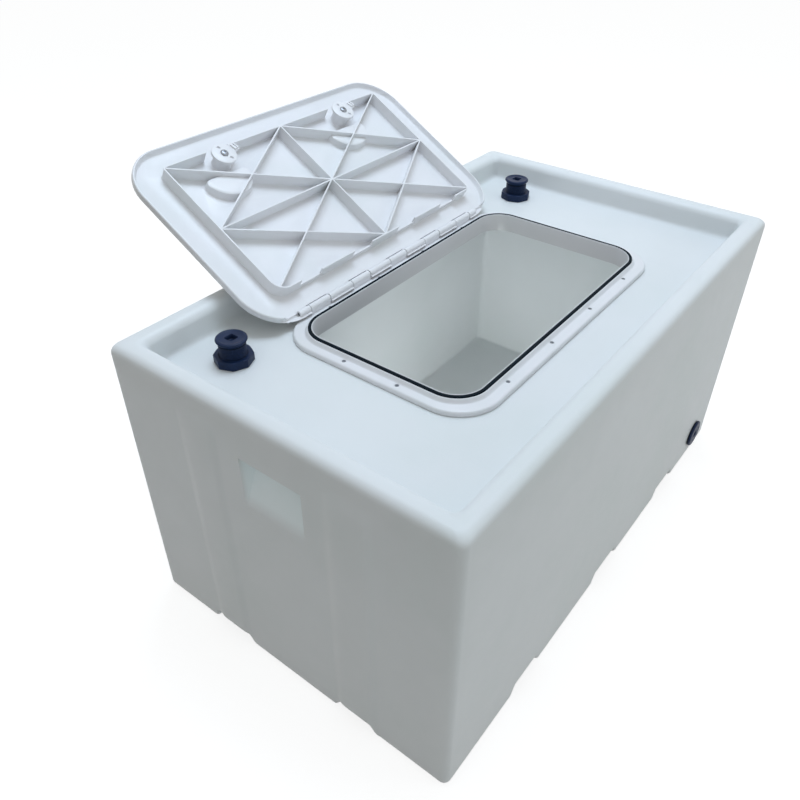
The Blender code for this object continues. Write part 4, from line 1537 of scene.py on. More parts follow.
    def ribs(self) -> list[Piece]:
        """Skirt, ribs, latch stems and lift bosses. Each rib is a little shallower, so that none meet flush.

        Returns:
            The pieces to join to the panel.
        """
        low = UNDER_LID - RIB_HEIGHT
        high = UNDER_LID + LID_THICK / 2
        mid_x, mid_y = self.skirt_middle
        rings = []
        for across, z in self.wall_section(low, high):
            radii = tuple(max(radius - self.rib_thick / 2 + across, 0.0004) for radius in self.skirt_radii)
            rings.append((mid_x + across, mid_y + across, radii, z))
        pieces = [rectangle_loft("skirt", rings, 10, ring=True)]
        for count, (start, end) in enumerate(self.rib_lines()):
            more = self.flush_step * (count + 1)
            pieces.append(self.rib(start, end, low + more, high - more))
        foot = self.stem_inset - RIB_HEIGHT
        stem = [(AXIS, foot), (STEM_RADIUS - SOFT, foot), (STEM_RADIUS, foot + SOFT)]
        stem += [(STEM_RADIUS + out, z) for out, z in self.stem_flare]
        stem.append((AXIS, stem[-1][1]))
        for x in (-LATCH_X, LATCH_X):
            pieces.append(lathe("stem", stem, Matrix.Translation((x, LATCH_Y, UNDER_LID)), 48))
            pieces.append(self.lift_boss(x))
        return pieces

    def half_disc(self, x: float, shrink: float, z: float) -> Loop:
        """A rounded half disc, its straight side towards the latches.

        Args:
            x: Middle of the straight side.
            shrink: How far it lies inside the boss's outline.
            z: Height.

        Returns:
            The loop.
        """
        radius = self.lift_radius - shrink
        corner = min(self.lift_corner, radius / 3)
        rise = shrink + corner
        reach = math.sqrt((radius - corner) ** 2 - rise**2)
        tilt = math.degrees(math.asin(rise / (radius - corner)))
        points = arc((x + reach, self.lift_y + rise), corner, -90, tilt, 8)
        points += arc((x, self.lift_y), radius, tilt, 180 - tilt, 24)[1:-1]
        points += arc((x - reach, self.lift_y + rise), corner, 180 - tilt, 270, 8)
        return [(across, along, z) for across, along in points]

    def lift_shape(self, name: str, x: float, levels: list[Point2]) -> Piece:
        """A half disc at a latch, drawn through levels of shrink and height."""
        loops = [self.half_disc(x + self.lift_shift, shrink, UNDER_LID + z) for shrink, z in levels]
        return loft(name, loops)

    def lift_boss(self, x: float) -> Piece:
        """The raised boss that a finger pocket makes under the lid.

        Args:
            x: Place of its latch.

        Returns:
            The boss.
        """
        deep = self.lift_depth + self.lift_wall
        floor = [(shrink, up - deep) for shrink, up in self.boss_floor]
        return self.lift_shape("lift_boss", x, [*self.boss_root, *floor])

    def lift_hollow(self, x: float) -> Piece:
        """The cutter for a finger pocket.

        Args:
            x: Place of its latch.

        Returns:
            The cutter.
        """
        wall = self.lift_wall
        levels = [(wall + shrink, LID_THICK + up) for shrink, up in self.hollow_mouth]
        levels += [(wall + shrink, up - self.lift_depth) for shrink, up in self.hollow_floor]
        return self.lift_shape("lift_hollow", x, levels)

    def cutters(self) -> list[Piece]:
        """Latch bores, dishes, finger pockets, latch mouths, skirt notches and the lip's end at the hinge.

        Returns:
            The cutters.
        """
        floor = LID_THICK - self.dish_depth
        bore = [(AXIS, -FAR), (self.shaft_bore, -FAR), (self.shaft_bore, GAP), (self.seal_seat, GAP)]
        bore += [(self.seal_seat, floor), (self.dish_radius, floor), (self.dish_radius, LID_THICK - 0.0003)]
        bore += [(self.dish_radius + 0.0005, LID_THICK + PAST), (AXIS, LID_THICK + PAST)]
        inside = self.mouth_half - self.rib_thick / 2
        deep = UNDER_LID - FAR
        cuts = []
        for x in (-LATCH_X, LATCH_X):
            cuts.append(lathe("latch_bore", bore, Matrix.Translation((x, LATCH_Y, UNDER_LID)), 64))
            cuts.append(self.lift_hollow(x))
            low = (x - inside, -self.skirt_half[1] - 0.006, deep)
            high = (x + inside, -self.skirt_half[1] + self.rib_thick + 0.0026, UNDER_LID - 0.0001)
            cuts.append(block("latch_mouth", low, high))
        cuts.append(block("lip_end", (-OUTSIDE[0], self.lip_end, deep), (*OUTSIDE, UNDER_LID)))
        half = self.notch_width / 2
        for x in self.notch_places:
            low = (x - half, self.skirt_half[1] - 2.2 * self.rib_thick, deep)
            high = (x + half, self.skirt_half[1] + self.rib_thick, UNDER_LID - RIB_HEIGHT + self.notch_depth)
            cuts.append(block("skirt_notch", low, high))
        return cuts

    def add_knuckles(self, lid: Piece) -> None:
        """Adds the lid's knuckles between the slots that clear the frame's.

        Args:
            lid: The lid, shut.
        """
        half = LID_SLOT / 2
        last = 2 * KNUCKLE_PITCH + half
        tabs = [(x + half, x + KNUCKLE_PITCH - half) for x in frame_knuckles()[:-1]]
        tabs += [(-last - END_KNUCKLE, -last), (last, last + END_KNUCKLE)]
        over = self.knuckle_over
        edge = self.knuckle_edge
        spans = [(low - over, high + over) for low, high in tabs]
        combine(lid, [barrel("lid_knuckle", *span, KNUCKLE_RADIUS, edge) for span in spans], "UNION")
        slots = []
        for x in frame_knuckles():
            low = (x - half, HINGE[1] - self.slot_depth, HINGE[2] - FAR)
            slots.append(block("lid_slot", low, (x + half, OUTSIDE[1], HINGE[2] + FAR)))
        combine(lid, [*slots, hinge_bore()], "DIFFERENCE")


@dataclass
class HingePin(SubAssembly):
    """The pin through all the knuckles, with rounded ends."""

    radius: float = 0.0025
    half: float = 0.2455
    edge: float = 0.0008

    def build(self) -> None:
        """Builds the pin."""
        pin = barrel("hatch_hinge_pin", -self.half, self.half, self.radius, self.edge)
        self.fit(pin, "tank", Slot.STEEL, ["hinge_pin"])


@dataclass
class TurnLatch(SubAssembly):
    """A latch: handle and shaft above, cam and screw below, with the seal between."""

    side: Side = Side.LEFT
    handle_radius: float = 0.0256
    handle_low: float = 0.0028
    handle_high: float = 0.0058
    handle_soft: float = 0.0004
    handle_rim: tuple[Point2, ...] = (
        (0.0, 0.0009), (0.0003, 0.0003), (0.001, 0.0), (0.003, 0.0), (0.0036, 0.0004), (0.0080, 0.0004)
    )
    grip_length: float = 0.046
    grip_breadth: float = 0.010
    grip_rise: float = 0.0078
    grip_crest: tuple[Point2, ...] = ((0.0, 0.0018), (0.0004, 0.0009), (0.0011, 0.0003), (0.0024, 0.0))
    shaft_radius: float = 0.006
    shaft_soft: float = 0.0003
    drive_half: float = 0.0041
    drive_slack: float = 0.0004
    drive_past: float = 0.0002
    tapped_radius: float = 0.0025
    tapped_depth: Point2 = (0.012, 0.0135)
    cam_high: float = -0.0214
    cam_thick: float = 0.005
    cam_radius: float = 0.0215
    cam_soft: float = 0.0007
    cam_reach: float = 0.0325
    cam_inset: float = 0.00002
    tongue: float = 0.016
    tongue_edge: float = 0.0008
    nub_height: float = 0.0025
    nub_edge: float = 0.0006
    slot_half: Point2 = (0.0045, 0.0011)
    slot_inset: float = 0.0053
    hollow_deep: float = 0.0022
    hollow_place: Point2 = (0.0135, -0.002)
    hollow_radii: Point2 = (0.0034, 0.0031)
    screw_shank: float = 0.002
    screw_head: tuple[Point2, ...] = (
        (0.0063, 0.0), (0.0066, 0.0003), (0.0066, 0.0009), (0.0056, 0.0020), (0.0036, 0.0027), (AXIS, 0.0028)
    )
    cross_half: Point2 = (0.0006, 0.0026)
    cross_depths: Point2 = (0.0011, 0.00114)
    rest_turn: float = 77.0

    @property
    def place(self) -> Matrix:
        """The latch's own axis, turned and opened to where it rests."""
        foot = Matrix.Translation((self.side.value * LATCH_X, LATCH_Y, UNDER_LID))
        return opened() @ foot @ Matrix.Rotation(math.radians(self.rest_turn), 4, "Z")

    @property
    def cam_low(self) -> float:
        """The cam's lower face."""
        return self.cam_high - self.cam_thick

    def build(self) -> None:
        """Builds the latch."""
        body = self.side.tag + "_latch"
        self.fit(self.handle(), body, Slot.HATCH, [body + "_handle"])
        self.fit(self.cam(), body, Slot.HATCH, [body + "_cam"])
        self.fit(self.screw(), body, Slot.STEEL, [body + "_screw"])
        self.keep(body + "_seal", Slot.RUBBER)

    def handle(self) -> Piece:
        """The handle's disc with its grip bar, and the shaft with its square drive.

        Returns:
            The handle in place.
        """
        radius = self.handle_radius
        high = self.handle_high
        low = self.handle_low
        soft = self.handle_soft
        disc = [(AXIS, low), (radius - soft, low), (radius, low + soft)]
        disc += [(radius - inset, high - drop) for inset, drop in self.handle_rim]
        disc.append((AXIS, disc[-1][1]))
        handle = lathe(self.side.tag + "_turn_handle", disc, self.place)
        radius = self.shaft_radius
        soft = self.shaft_soft
        top = low + 0.001
        foot = self.cam_high + GAP
        shaft = [(AXIS, foot), (radius - soft, foot), (radius, foot + soft), (radius, top), (AXIS, top)]
        half = self.drive_half
        foot = self.cam_low - self.drive_past
        drive = block("drive", (-half, -half, foot), (half, half, self.cam_high + 0.002), self.place)
        grip = self.grip(high - 0.001, high + self.grip_rise)
        combine(handle, [grip, lathe("shaft", shaft, self.place, 40), drive], "UNION")
        radius = self.tapped_radius
        shallow, deep = self.tapped_depth
        tapped = [(AXIS, foot - PAST), (radius, foot - PAST), (radius, foot + shallow), (AXIS, foot + deep)]
        combine(handle, [lathe("tapped_hole", tapped, self.place, 24)], "DIFFERENCE")
        clear_slivers(handle)
        return handle

    def grip(self, low: float, high: float) -> Piece:
        """A finger bar with round ends and a softened crest, along the latch's Y.

        Args:
            low: Its foot inside the disc.
            high: Its crest.

        Returns:
            The bar in place.
        """
        reach = (self.grip_length - self.grip_breadth) / 2
        loops = []
        for shrink, z in [(0.0, low), *((shrink, high - drop) for shrink, drop in self.grip_crest)]:
            radius = self.grip_breadth / 2 - shrink
            outline = arc((0.0, reach), radius, 0, 180, 12) + arc((0.0, -reach), radius, 180, 360, 12)
            loops.append([(x, y, z) for x, y in outline])
        grip = loft("grip_bar", loops)
        grip.data.transform(self.place)
        return grip

    def cam(self) -> Piece:
        """The cam: a disc with a tongue that reaches under the frame, a nub and moulded hollows.

        Returns:
            The cam in place.
        """
        high = self.cam_high
        low = self.cam_low
        radius = self.cam_radius
        soft = self.cam_soft
        disc = [(AXIS, high), (radius - soft, high), (radius, high - soft), (radius, low + soft)]
        disc += [(radius - soft / 3, low + soft / 3), (radius - soft, low), (AXIS, low)]
        cam = lathe(self.side.tag + "_latch_tongue", disc, self.place)
        half = self.tongue / 2
        reach = self.cam_reach
        inset = self.cam_inset
        edge = self.tongue_edge
        tongue = block("tongue", (-half, -reach, low + inset), (half, 0.0, high - inset), None, edge)
        nub_low = (-half + 0.002, -reach + 0.001, low - self.nub_height)
        nub = block("nub", nub_low, (half - 0.002, -radius - 0.0005, low + 0.001), None, self.nub_edge)
        for piece in (tongue, nub):
            piece.data.transform(self.place)
        combine(cam, [tongue, nub], "UNION")
        combine(cam, self.cam_cutters(), "DIFFERENCE")
        return cam

    def cam_cutters(self) -> list[Piece]:
        """The cutters for the cam's square hole, its slot and its two hollows.

        Returns:
            The cutters in place.
        """
        low = self.cam_low
        foot = low - PAST
        half = self.drive_half + self.drive_slack
        cuts = [block("square", (-half, -half, foot), (half, half, self.cam_high + PAST), self.place)]
        half, deep = self.slot_half
        middle = self.slot_inset - self.cam_reach
        slot_high = (half, middle + deep, low + 0.002)
        cuts.append(block("slot", (-half, middle - deep, foot), slot_high, self.place))
        end = low + self.hollow_deep
        mouth, bottom = self.hollow_radii
        hollow = [(AXIS, foot), (mouth, foot), (bottom, end), (AXIS, end)]
        x, y = self.hollow_place
        for side in SIDES:
            cuts.append(lathe("hollow", hollow, self.place @ Matrix.Translation((side * x, y, 0.0)), 28))
        return cuts

    def screw(self) -> Piece:
        """The screw that holds the cam, with a cross recess.

        Returns:
            The screw in place.
        """
        tip = self.cam_low + 0.010
        top = self.cam_low - 0.0005
        shank = self.screw_shank
        profile = [(AXIS, tip), (shank - 0.0006, tip), (shank, tip - 0.001), (shank, top)]
        profile += [(radius, top - drop) for radius, drop in self.screw_head]
        screw = lathe(self.side.tag + "_cam_screw", profile, self.place, 40)
        turned = self.place @ Matrix.Rotation(math.radians(45), 4, "Z")
        first, second = ((top - PAST, top - depth) for depth in self.cross_depths)
        combine(screw, cross_cutters(turned, self.cross_half, (first, second)), "DIFFERENCE")
        return screw


@dataclass
class FlangeScrews(SubAssembly):
    """The countersunk screws that hold the frame to the deck."""

    head: float = 0.0030
    head_edge: float = 0.0002
    shank: float = 0.0021
    countersink: float = 0.0022
    length: float = 0.020
    pitch: float = 0.0014
    thread_depth: float = 0.0004
    thread_start: float = -0.004
    tip: float = 0.003
    top: float = DECK + 0.0078
    turn_step: float = 0.7
    cross_half: Point2 = (0.00045, 0.0021)
    cross_ends: tuple[Point2, Point2] = ((-0.0013, PAST), (-0.00134, PAST))

    def build(self) -> None:
        """Builds one screw for each place."""
        edge = self.head_edge
        profile = [(AXIS, 0.0), (self.head - edge, 0.0), (self.head, -edge), (self.shank, -self.countersink)]
        profile += self.thread()
        for count, (x, y) in enumerate(screw_places()):
            number = "screw_%02d" % (count + 1)
            place = Matrix.Translation((x, y, self.top)) @ Matrix.Rotation(self.turn_step * count, 4, "Z")
            screw = lathe("frame_" + number, profile, place, 24)
            combine(screw, cross_cutters(place, self.cross_half, self.cross_ends), "DIFFERENCE")
            self.fit(screw, "tank", Slot.STEEL, ["flange_" + number])

    def thread(self) -> list[Point2]:
        """Profile of the thread's crests down to the tip.

        Returns:
            The points in falling order.
        """
        points = []
        root = self.shank - self.thread_depth
        low = self.tip - self.length
        z = self.thread_start
        while z > low:
            points += [(self.shank, z), (root, z - self.pitch / 2)]
            z -= self.pitch
        return points + [(root, low), (AXIS, -self.length)]


@dataclass
class Fitting(SubAssembly):
    """What the deck ports and the drain share."""

    barrel_radius: float = 0.0203
    bore: float = 0.0164
    pitch: float = 0.00231
    thread_depth: float = 0.0009
    thread_edge: float = 0.0007
    nut_radius: float = 0.0295
    nut_sides: int = 8
    nut_slack: float = 0.0003
    nut_over: float = 0.001
    nut_faces: Point2 = (0.0001, 0.0013)
    nut_chamfers: Point2 = (0.0022, 0.0008)
    nut_edge: float = 0.0005
    ring_squareness: float = 0.75
    plug_shank: float = 0.016
    plug_edge: float = 0.0008
    socket_size: float = 0.015
    socket_depth: float = 0.008
    socket_radius: float = 0.0016
    socket_mouth: tuple[Point2, ...] = ((0.0009, 0.005), (0.0009, 0.0003), (0.0, -0.0008))
    socket_floor: tuple[Point2, ...] = ((-0.0004, 0.0008), (-0.0014, 0.0))

    def turns(self, z: float, low: float, turn: tuple[Point2, ...]) -> tuple[list[Point2], float]:
        """Full turns of a thread's profile.

        Args:
            z: Height where the first starts.
            low: Height that none may pass.
            turn: Radius and share of the pitch of each point of a turn.

        Returns:
            The points in falling order, and the height where the last turn ends.
        """
        points = []
        while z - self.pitch > low:
            points += [(radius, z - self.pitch * share) for radius, share in turn]
            z -= self.pitch
        return points, z

    def thread(self, high: float, low: float) -> list[Point2]:
        """Profile of a barrel's thread, in falling order.

        Args:
            high: Height where the thread starts.
            low: Height where it ends.

        Returns:
            Crests and roots.
        """
        radius = self.barrel_radius
        root = radius - self.thread_depth
        start = high - self.thread_edge
        turn = ((radius, 0.22), (root, 0.48), (root, 0.74), (radius, 1.0))
        points, _ = self.turns(start, low + 0.0008, turn)
        return [(root, high), (radius, start), *points, (radius, low)]

    def shank(self, start: float, foot: float) -> list[Point2]:
        """Profile of a plug's screwed shank, from its first crest down to its foot.

        Args:
            start: Height of the first crest.
            foot: Height of the foot.

        Returns:
            The points in falling order.
        """
        radius = self.plug_shank
        root = radius - self.thread_depth
        edge = self.plug_edge
        turn = ((radius, 0.0), (radius, 0.25), (root, 0.5), (root, 0.75))
        points, z = self.turns(start, foot + 0.001, turn)
        return points + [(radius, z), (radius, foot + edge), (radius - edge, foot), (AXIS, foot)]

    def nut(self, name: str, low: float, high: float, place: Matrix) -> Piece:
        """An eight-sided lock nut with chamfered corners and a softened bore.

        Args:
            name: Its name.
            low: Its lower face.
            high: Its upper face.
            place: The fitting's placing matrix.

        Returns:
            The nut.
        """
        outline = arc((AXIS, AXIS), self.nut_radius, 0, 360, self.nut_sides)[:-1]
        nut = extrude(name, outline, low, high, place)
        flat = self.nut_radius * math.cos(math.pi / self.nut_sides)
        over = self.nut_over
        upper, lower = (flat + out for out in self.nut_faces)
        drop, lift = self.nut_chamfers
        widest = self.nut_radius + lift
        envelope = [(AXIS, high + over), (upper, high + over), (upper, high), (widest, high - drop)]
        envelope += [(widest, low + lift), (lower, low - over / 5), (lower, low - over), (AXIS, low - over)]
        combine(nut, [lathe("nut_envelope", envelope, place)], "INTERSECT")
        inner = self.barrel_radius + self.nut_slack
        mouth = inner + over
        bore = [(AXIS, low - PAST), (inner, low - PAST), (inner, high - SOFT), (mouth, high - SOFT + over)]
        bore += [(mouth, high + PAST), (AXIS, high + PAST)]
        combine(nut, [lathe("nut_bore", bore, place)], "DIFFERENCE")
        clear_slivers(nut)
        round_edges(nut, self.nut_edge, 2, 28.0)
        clear_slivers(nut, WELD / 5)
        return nut

    def ring_seal(self, name: str, radii: Point2, heights: Point2, place: Matrix) -> Piece:
        """A rubber ring of rounded section, between two radii and two heights.

        Args:
            name: The object's name.
            radii: Its inner and outer radius.
            heights: Its lower and upper height.
            place: The fitting's placing matrix.

        Returns:
            The ring.
        """
        middle, half = sum(radii) / 2, (radii[1] - radii[0]) / 2
        centre, rise = sum(heights) / 2, (heights[1] - heights[0]) / 2
        profile = []
        for point in arc((0.0, 0.0), 1.0, 0, 360, 16)[:-1]:
            across, up = (math.copysign(abs(value) ** self.ring_squareness, value) for value in point)
            profile.append((middle + half * across, centre + rise * up))
        return lathe(name, profile, place, closed=True)

    def plug(self, name: str, profile: list[Point2], top: float, place: Matrix) -> Piece:
        """A screw plug with a square socket, which has soft corners and a chamfered mouth.

        Args:
            name: Its name.
            profile: Its profile.
            top: Height of the socket's mouth.
            place: The fitting's placing matrix.

        Returns:
            The plug.
        """
        half = self.socket_size / 2
        foot = top - self.socket_depth
        levels = [(out, top + up) for out, up in self.socket_mouth]
        levels += [(out, foot + up) for out, up in self.socket_floor]
        rings = [(half + out, half + out, self.socket_radius + max(out, 0.0), z) for out, z in levels]
        socket = rectangle_loft("socket", rings, 5)
        socket.data.transform(place)
        plug = lathe(name, profile, place, 72)
        combine(plug, [socket], "DIFFERENCE")
        return plug


@dataclass
class DeckPort(Fitting):
    """A bulkhead port of the deck: body, washer, lock nut, sealing ring and screw plug."""

    side: Side = Side.LEFT
    centre: Point2 = (-0.376, 0.182)
    barrel_top: float = 0.030
    flange_radius: float = 0.034
    flange_top: float = -0.0136
    flange_low: float = -0.0196
    flange_soft: float = 0.0006
    foot_chamfer: float = 0.001
    nut_height: float = 0.0132
    ring_radii: Point2 = (0.0165, 0.020)
    ring_top: float = 0.0019
    plug_foot: float = 0.012
    plug_head: float = 0.0233
    plug_top: float = 0.040
    head_low: float = 0.0322
    head_crest: tuple[Point2, ...] = (
        (0.0052, 0.0006), (0.0044, 0.0001), (0.0034, 0.0), (0.0012, 0.0004), (0.0003, 0.0013), (0.0, 0.0024),
        (0.0001, 0.0032), (0.0012, 0.0046),
    )

    def build(self) -> None:
        """Builds the port."""
        place = Matrix.Translation((*self.centre, DECK))
        port = self.side.tag + "_port"
        top = self.barrel_top
        body = lathe(port + "_barrel", self.barrel_profile(), place, closed=True)
        self.fit(body, "tank", Slot.PORT, [port + "_body"])
        nut = self.nut(port + "_lock_nut", GAP, self.nut_height, place)
        self.fit(nut, "tank", Slot.PORT, [port + "_nut"])
        ring = self.ring_seal(port + "_ring", self.ring_radii, (top + GAP, top + self.ring_top), place)
        self.fit(ring, port + "_ring", Slot.RUBBER, [port + "_o_ring"], 60.0)
        self.keep(port + "_seal", Slot.RUBBER)
        plug = self.plug(self.side.tag + "_screw_plug", self.plug_profile(), self.plug_top, place)
        self.fit(plug, port + "_plug", Slot.PORT, [port + "_plug"])

    def barrel_profile(self) -> list[Point2]:
        """Closed profile of the body: barrel, flange under the deck and bore.

        Returns:
            The points, from the mouth down and back.
        """
        radius = self.barrel_radius
        top = self.barrel_top
        flange = self.flange_radius
        soft = self.flange_soft
        chamfer = self.foot_chamfer
        high = self.flange_top
        low = self.flange_low
        profile = [(self.bore + 0.0006, top), (radius - 0.0014, top)]
        profile += self.thread(top - 0.0008, high + 0.002)
        profile += [(radius, high), (flange - soft, high), (flange, high - soft)]
        profile += [(flange, low + chamfer), (flange - chamfer, low), (self.bore + chamfer, low)]
        return profile + [(self.bore, low + chamfer), (self.bore, top - 0.0006)]

    def plug_profile(self) -> list[Point2]:
        """Profile of the plug: a dished head over a tapering neck and a screwed shank.

        Returns:
            The points, from the top down.
        """
        head = self.plug_head
        low = self.head_low
        profile = [(head - inset, self.plug_top - drop) for inset, drop in self.head_crest]
        profile.insert(0, (AXIS, profile[0][1]))
        profile += [(head - 0.0026, low + 0.0008), (head - 0.0034, low), (self.plug_shank, low)]
        return profile + self.shank(low - 0.002, self.plug_foot)


@dataclass
class DrainPort(Fitting):
    """The drain, low in the latch side: flange outside, nut inside and a sunk plug."""

    axis_foot: Point3 = (0.4075, -0.300, 0.058)
    flange: float = 0.028
    flange_rim: tuple[Point2, ...] = ((0.0030, 0.0), (0.0012, 0.0005), (0.0003, 0.0014), (0.0, 0.0026))
    proud: float = 0.0068
    seal_top: float = 0.002
    shoulder: float = -0.0193
    inner_end: float = -0.030
    drain_bore: float = 0.011
    wall: float = 0.010
    nut_height: float = 0.010
    ring_radii: Point2 = (0.0118, 0.0158)
    ring_height: float = 0.0018
    socket_size: float = 0.014
    plug_sink: float = 0.0004
    plug_rim: float = 0.0012
    thread_drop: float = 0.003
    plug_gap: float = 0.0024

    def build(self) -> None:
        """Builds the drain."""
        place = Matrix.Translation(self.axis_foot) @ Matrix.Rotation(math.radians(90), 4, "X")
        body = lathe("drain_barrel", self.barrel_profile(), place, closed=True)
        self.fit(body, "tank", Slot.PORT, ["drain_body"])
        high = -self.wall - GAP
        nut = self.nut("drain_lock_nut", high - self.nut_height, high, place)
        self.fit(nut, "tank", Slot.PORT, ["drain_nut"])
        low = self.shoulder + GAP
        ring = self.ring_seal("drain_sealing_ring", self.ring_radii, (low, low + self.ring_height), place)
        self.fit(ring, "drain_ring", Slot.RUBBER, ["drain_o_ring"], 60.0)
        self.keep("drain_seal", Slot.RUBBER)
        top = self.proud - self.plug_sink
        shank = self.plug_shank
        edge, sink = self.plug_rim, self.plug_sink
        profile = [(AXIS, top), (shank - edge, top), (shank - sink, top - sink), (shank, top - edge)]
        profile += self.shank(top - self.thread_drop, self.shoulder + self.plug_gap)
        plug = self.plug("drain_screw_plug", profile, top, place)
        self.fit(plug, "drain_plug", Slot.PORT, ["drain_plug"])

    def barrel_profile(self) -> list[Point2]:
        """Closed profile of the body: flange, barrel, inner end, shoulder and bore.

        Returns:
            The points, from the mouth inwards and back.
        """
        proud = self.proud
        end = self.inner_end
        foot = self.seal_top + GAP
        profile = [(self.bore + 0.0008, proud)]
        profile += [(self.flange - inset, proud - drop) for inset, drop in self.flange_rim]
        profile += [(self.flange, foot), (self.barrel_radius, foot)]
        profile += self.thread(foot - 0.008, end + 0.001)[1:]
        profile += [(self.barrel_radius - 0.001, end), (self.drain_bore + 0.0006, end)]
        profile += [(self.drain_bore, end + 0.0006), (self.drain_bore, self.shoulder)]
        return profile + [(self.bore, self.shoulder), (self.bore, proud - 0.0008)]


# The studio


@dataclass(frozen=True)
class Lamp:
    """A soft rectangular lamp."""

    name: str
    place: Point3
    aim: Point3
    size: Point2
    power: float
    colour: Colour
    spread: float = 180.0

    def build(self) -> None:
        """Hangs the lamp."""
        data = bpy.data.lights.new(self.name, "AREA")
        data.shape = "RECTANGLE"
        data.size, data.size_y = self.size
        data.energy = self.power
        data.color = self.colour
        data.spread = math.radians(self.spread)
        lamp = bpy.data.objects.new(self.name, data)
        bpy.context.scene.collection.objects.link(lamp)
        lamp.location = self.place
        towards = Vector(self.aim) - Vector(self.place)
        lamp.rotation_euler = towards.to_track_quat("-Z", "Y").to_euler()


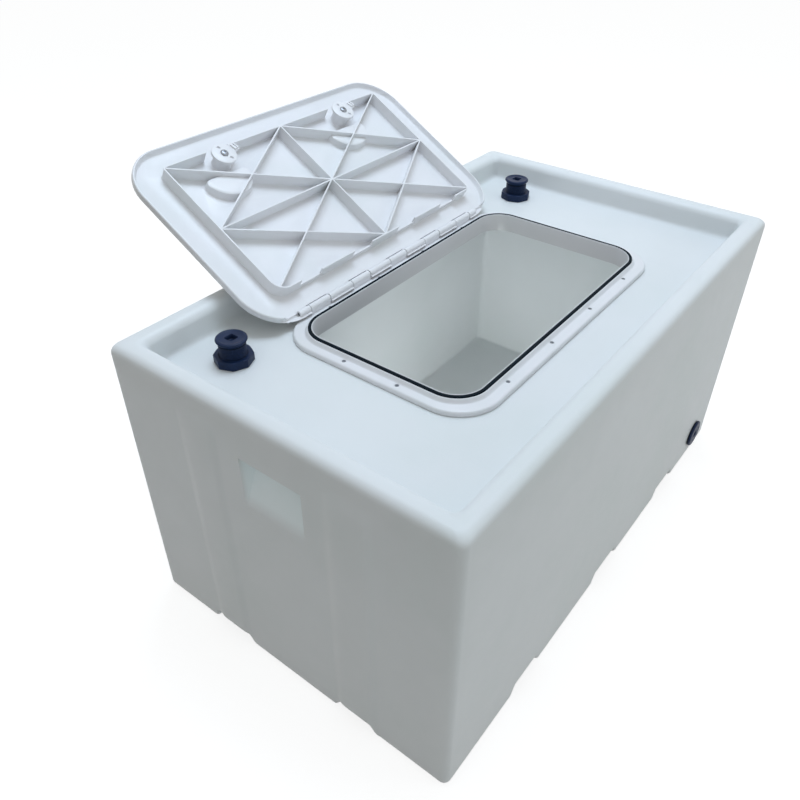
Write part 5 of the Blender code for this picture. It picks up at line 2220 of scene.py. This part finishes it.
@dataclass
class Studio:
    """Floor, world, lamps and camera."""

    focal: float = 34.224
    sensor: float = 36.0
    eye: Point3 = (-0.95209, -0.56236, 1.09183)
    ahead: Point3 = (0.629694, 0.482726, -0.608656)
    right: Point3 = (0.610324, -0.792146, 0.003167)
    floor_half: float = 14.0
    floor_steps: int = 8
    floor_colour: Colour = (0.20, 0.18, 0.15)
    floor_seen: Colour = (0.40, 0.40, 0.40)
    floor_glow: float = 0.79
    sky: float = 0.48
    sky_colour: Colour = (0.98, 1.0, 1.0)
    sky_seen: Colour = (1.0, 1.0, 1.0)
    lamps: tuple[Lamp, ...] = (
        Lamp("overhead_softbox", (0.4, 0.3, 2.6), (0.0, 0.0, 0.4), (1.2, 1.0), 32.0, (0.70, 0.84, 1.0)),
        Lamp("near_side_softbox", (-1.9, -1.9, 0.6), (-0.45, 0.0, 0.35), (1.0, 1.0), 4.9, (0.82, 0.94, 1.0)),
        Lamp("far_side_softbox", (1.1, -2.6, 1.1), (0.3, 0.0, 0.25), (1.2, 1.2), 11.0, (0.80, 0.93, 1.0)),
        Lamp("end_softbox", (-1.7, 0.1, 2.0), (-0.5, 0.0, 0.35), (0.8, 0.8), 1.2, (0.86, 0.95, 1.0)),
        Lamp(
            "inner_fill", (-0.22, -0.14, 0.14), (0.49, 0.29, 0.19), (0.24, 0.14), 0.72, (0.95, 1.0, 1.0),
            spread=110.0,
        ),
    )

    def build(self) -> None:
        """Sets up everything round the object."""
        self.add_floor()
        self.add_world()
        for lamp in self.lamps:
            lamp.build()
        self.add_camera()
        bpy.context.scene.view_settings.view_transform = "Standard"

    def choose(self, graph: Graph, output: str, lighting: Socket, seen: Socket) -> None:
        """Sends one shader to the rays that light the object, and another to those that should meet white.

        Args:
            graph: The node tree.
            output: Its output node's kind.
            lighting: The shader that lights the object.
            seen: The shader for camera, glossy and transmission rays.
        """
        path = graph.node("LightPath").outputs
        white = graph.math("MAXIMUM", path["Is Camera Ray"], path["Is Glossy Ray"])
        white = graph.math("MAXIMUM", white, path["Is Transmission Ray"])
        mixed = graph.node("MixShader", {0: white, 1: lighting, 2: seen}).outputs[0]
        graph.node(output, {"Surface": mixed})

    def add_floor(self) -> None:
        """A plain pale floor that shows white and keeps a faint shadow."""
        edit = bmesh.new()
        half = self.floor_half
        steps = self.floor_steps
        places = [-half + 2 * half * step / steps for step in range(steps + 1)]
        weave(edit, [[edit.verts.new((x, y, 0.0)) for x in places] for y in places], wrap=False)
        floor = add_object("studio_floor", edit)
        material = bpy.data.materials.new("studio_floor_paint")
        material.use_nodes = True
        graph = Graph(material.node_tree)
        graph.tree.nodes.clear()
        warm = graph.node("BsdfDiffuse", {"Color": (*self.floor_colour, 1.0)}).outputs[0]
        plain = graph.node("BsdfDiffuse", {"Color": (*self.floor_seen, 1.0)}).outputs[0]
        glow = graph.node("Emission", {"Strength": self.floor_glow}).outputs[0]
        total = graph.node("AddShader", {0: plain, 1: glow}).outputs[0]
        self.choose(graph, "OutputMaterial", warm, total)
        floor.data.materials.append(material)

    def add_world(self) -> None:
        """A world that shows white and lights the object softly."""
        world = bpy.data.worlds.new("studio_sky")
        bpy.context.scene.world = world
        world.use_nodes = True
        graph = Graph(world.node_tree)
        graph.tree.nodes.clear()
        seen = graph.node("Background", {"Color": (*self.sky_seen, 1.0)}).outputs[0]
        light = graph.node("Background", {"Color": (*self.sky_colour, 1.0), "Strength": self.sky}).outputs[0]
        self.choose(graph, "OutputWorld", light, seen)

    def add_camera(self) -> None:
        """The camera at the photograph's angle."""
        data = bpy.data.cameras.new("photo_camera")
        data.sensor_width = self.sensor
        data.sensor_fit = "HORIZONTAL"
        data.lens = self.focal
        camera = bpy.data.objects.new("photo_camera", data)
        bpy.context.scene.collection.objects.link(camera)
        ahead = Vector(self.ahead).normalized()
        right = Vector(self.right).normalized()
        up = right.cross(ahead).normalized()
        turn = Matrix((right, up, -ahead)).transposed()
        camera.matrix_world = Matrix.Translation(self.eye) @ turn.to_4x4()
        bpy.context.scene.camera = camera


def corners(box: tuple[Vector, Vector]) -> list[list[float]]:
    """A box's two corners as plain lists."""
    return [[float(value) for value in corner] for corner in box]


def main() -> None:
    """Builds the box and its studio."""
    logging.basicConfig(level=logging.INFO, format="%(message)s")
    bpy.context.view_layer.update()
    paintbox = Paintbox.filled()
    assemblies: list[SubAssembly] = [
        TankShell(paintbox),
        HatchFrame(paintbox),
        HatchGasket(paintbox),
        HatchLid(paintbox),
        HingePin(paintbox),
        TurnLatch(paintbox, side=Side.LEFT),
        TurnLatch(paintbox, side=Side.RIGHT),
        FlangeScrews(paintbox),
        DeckPort(paintbox, side=Side.LEFT, centre=(-0.376, 0.182)),
        DeckPort(paintbox, side=Side.RIGHT, centre=(0.392, 0.169)),
        DrainPort(paintbox),
    ]
    for assembly in assemblies:
        LOG.info("building %s", type(assembly).__name__)
        assembly.build()
    Studio().build()
    bpy.context.view_layer.update()


if __name__ == "__main__":
    main()
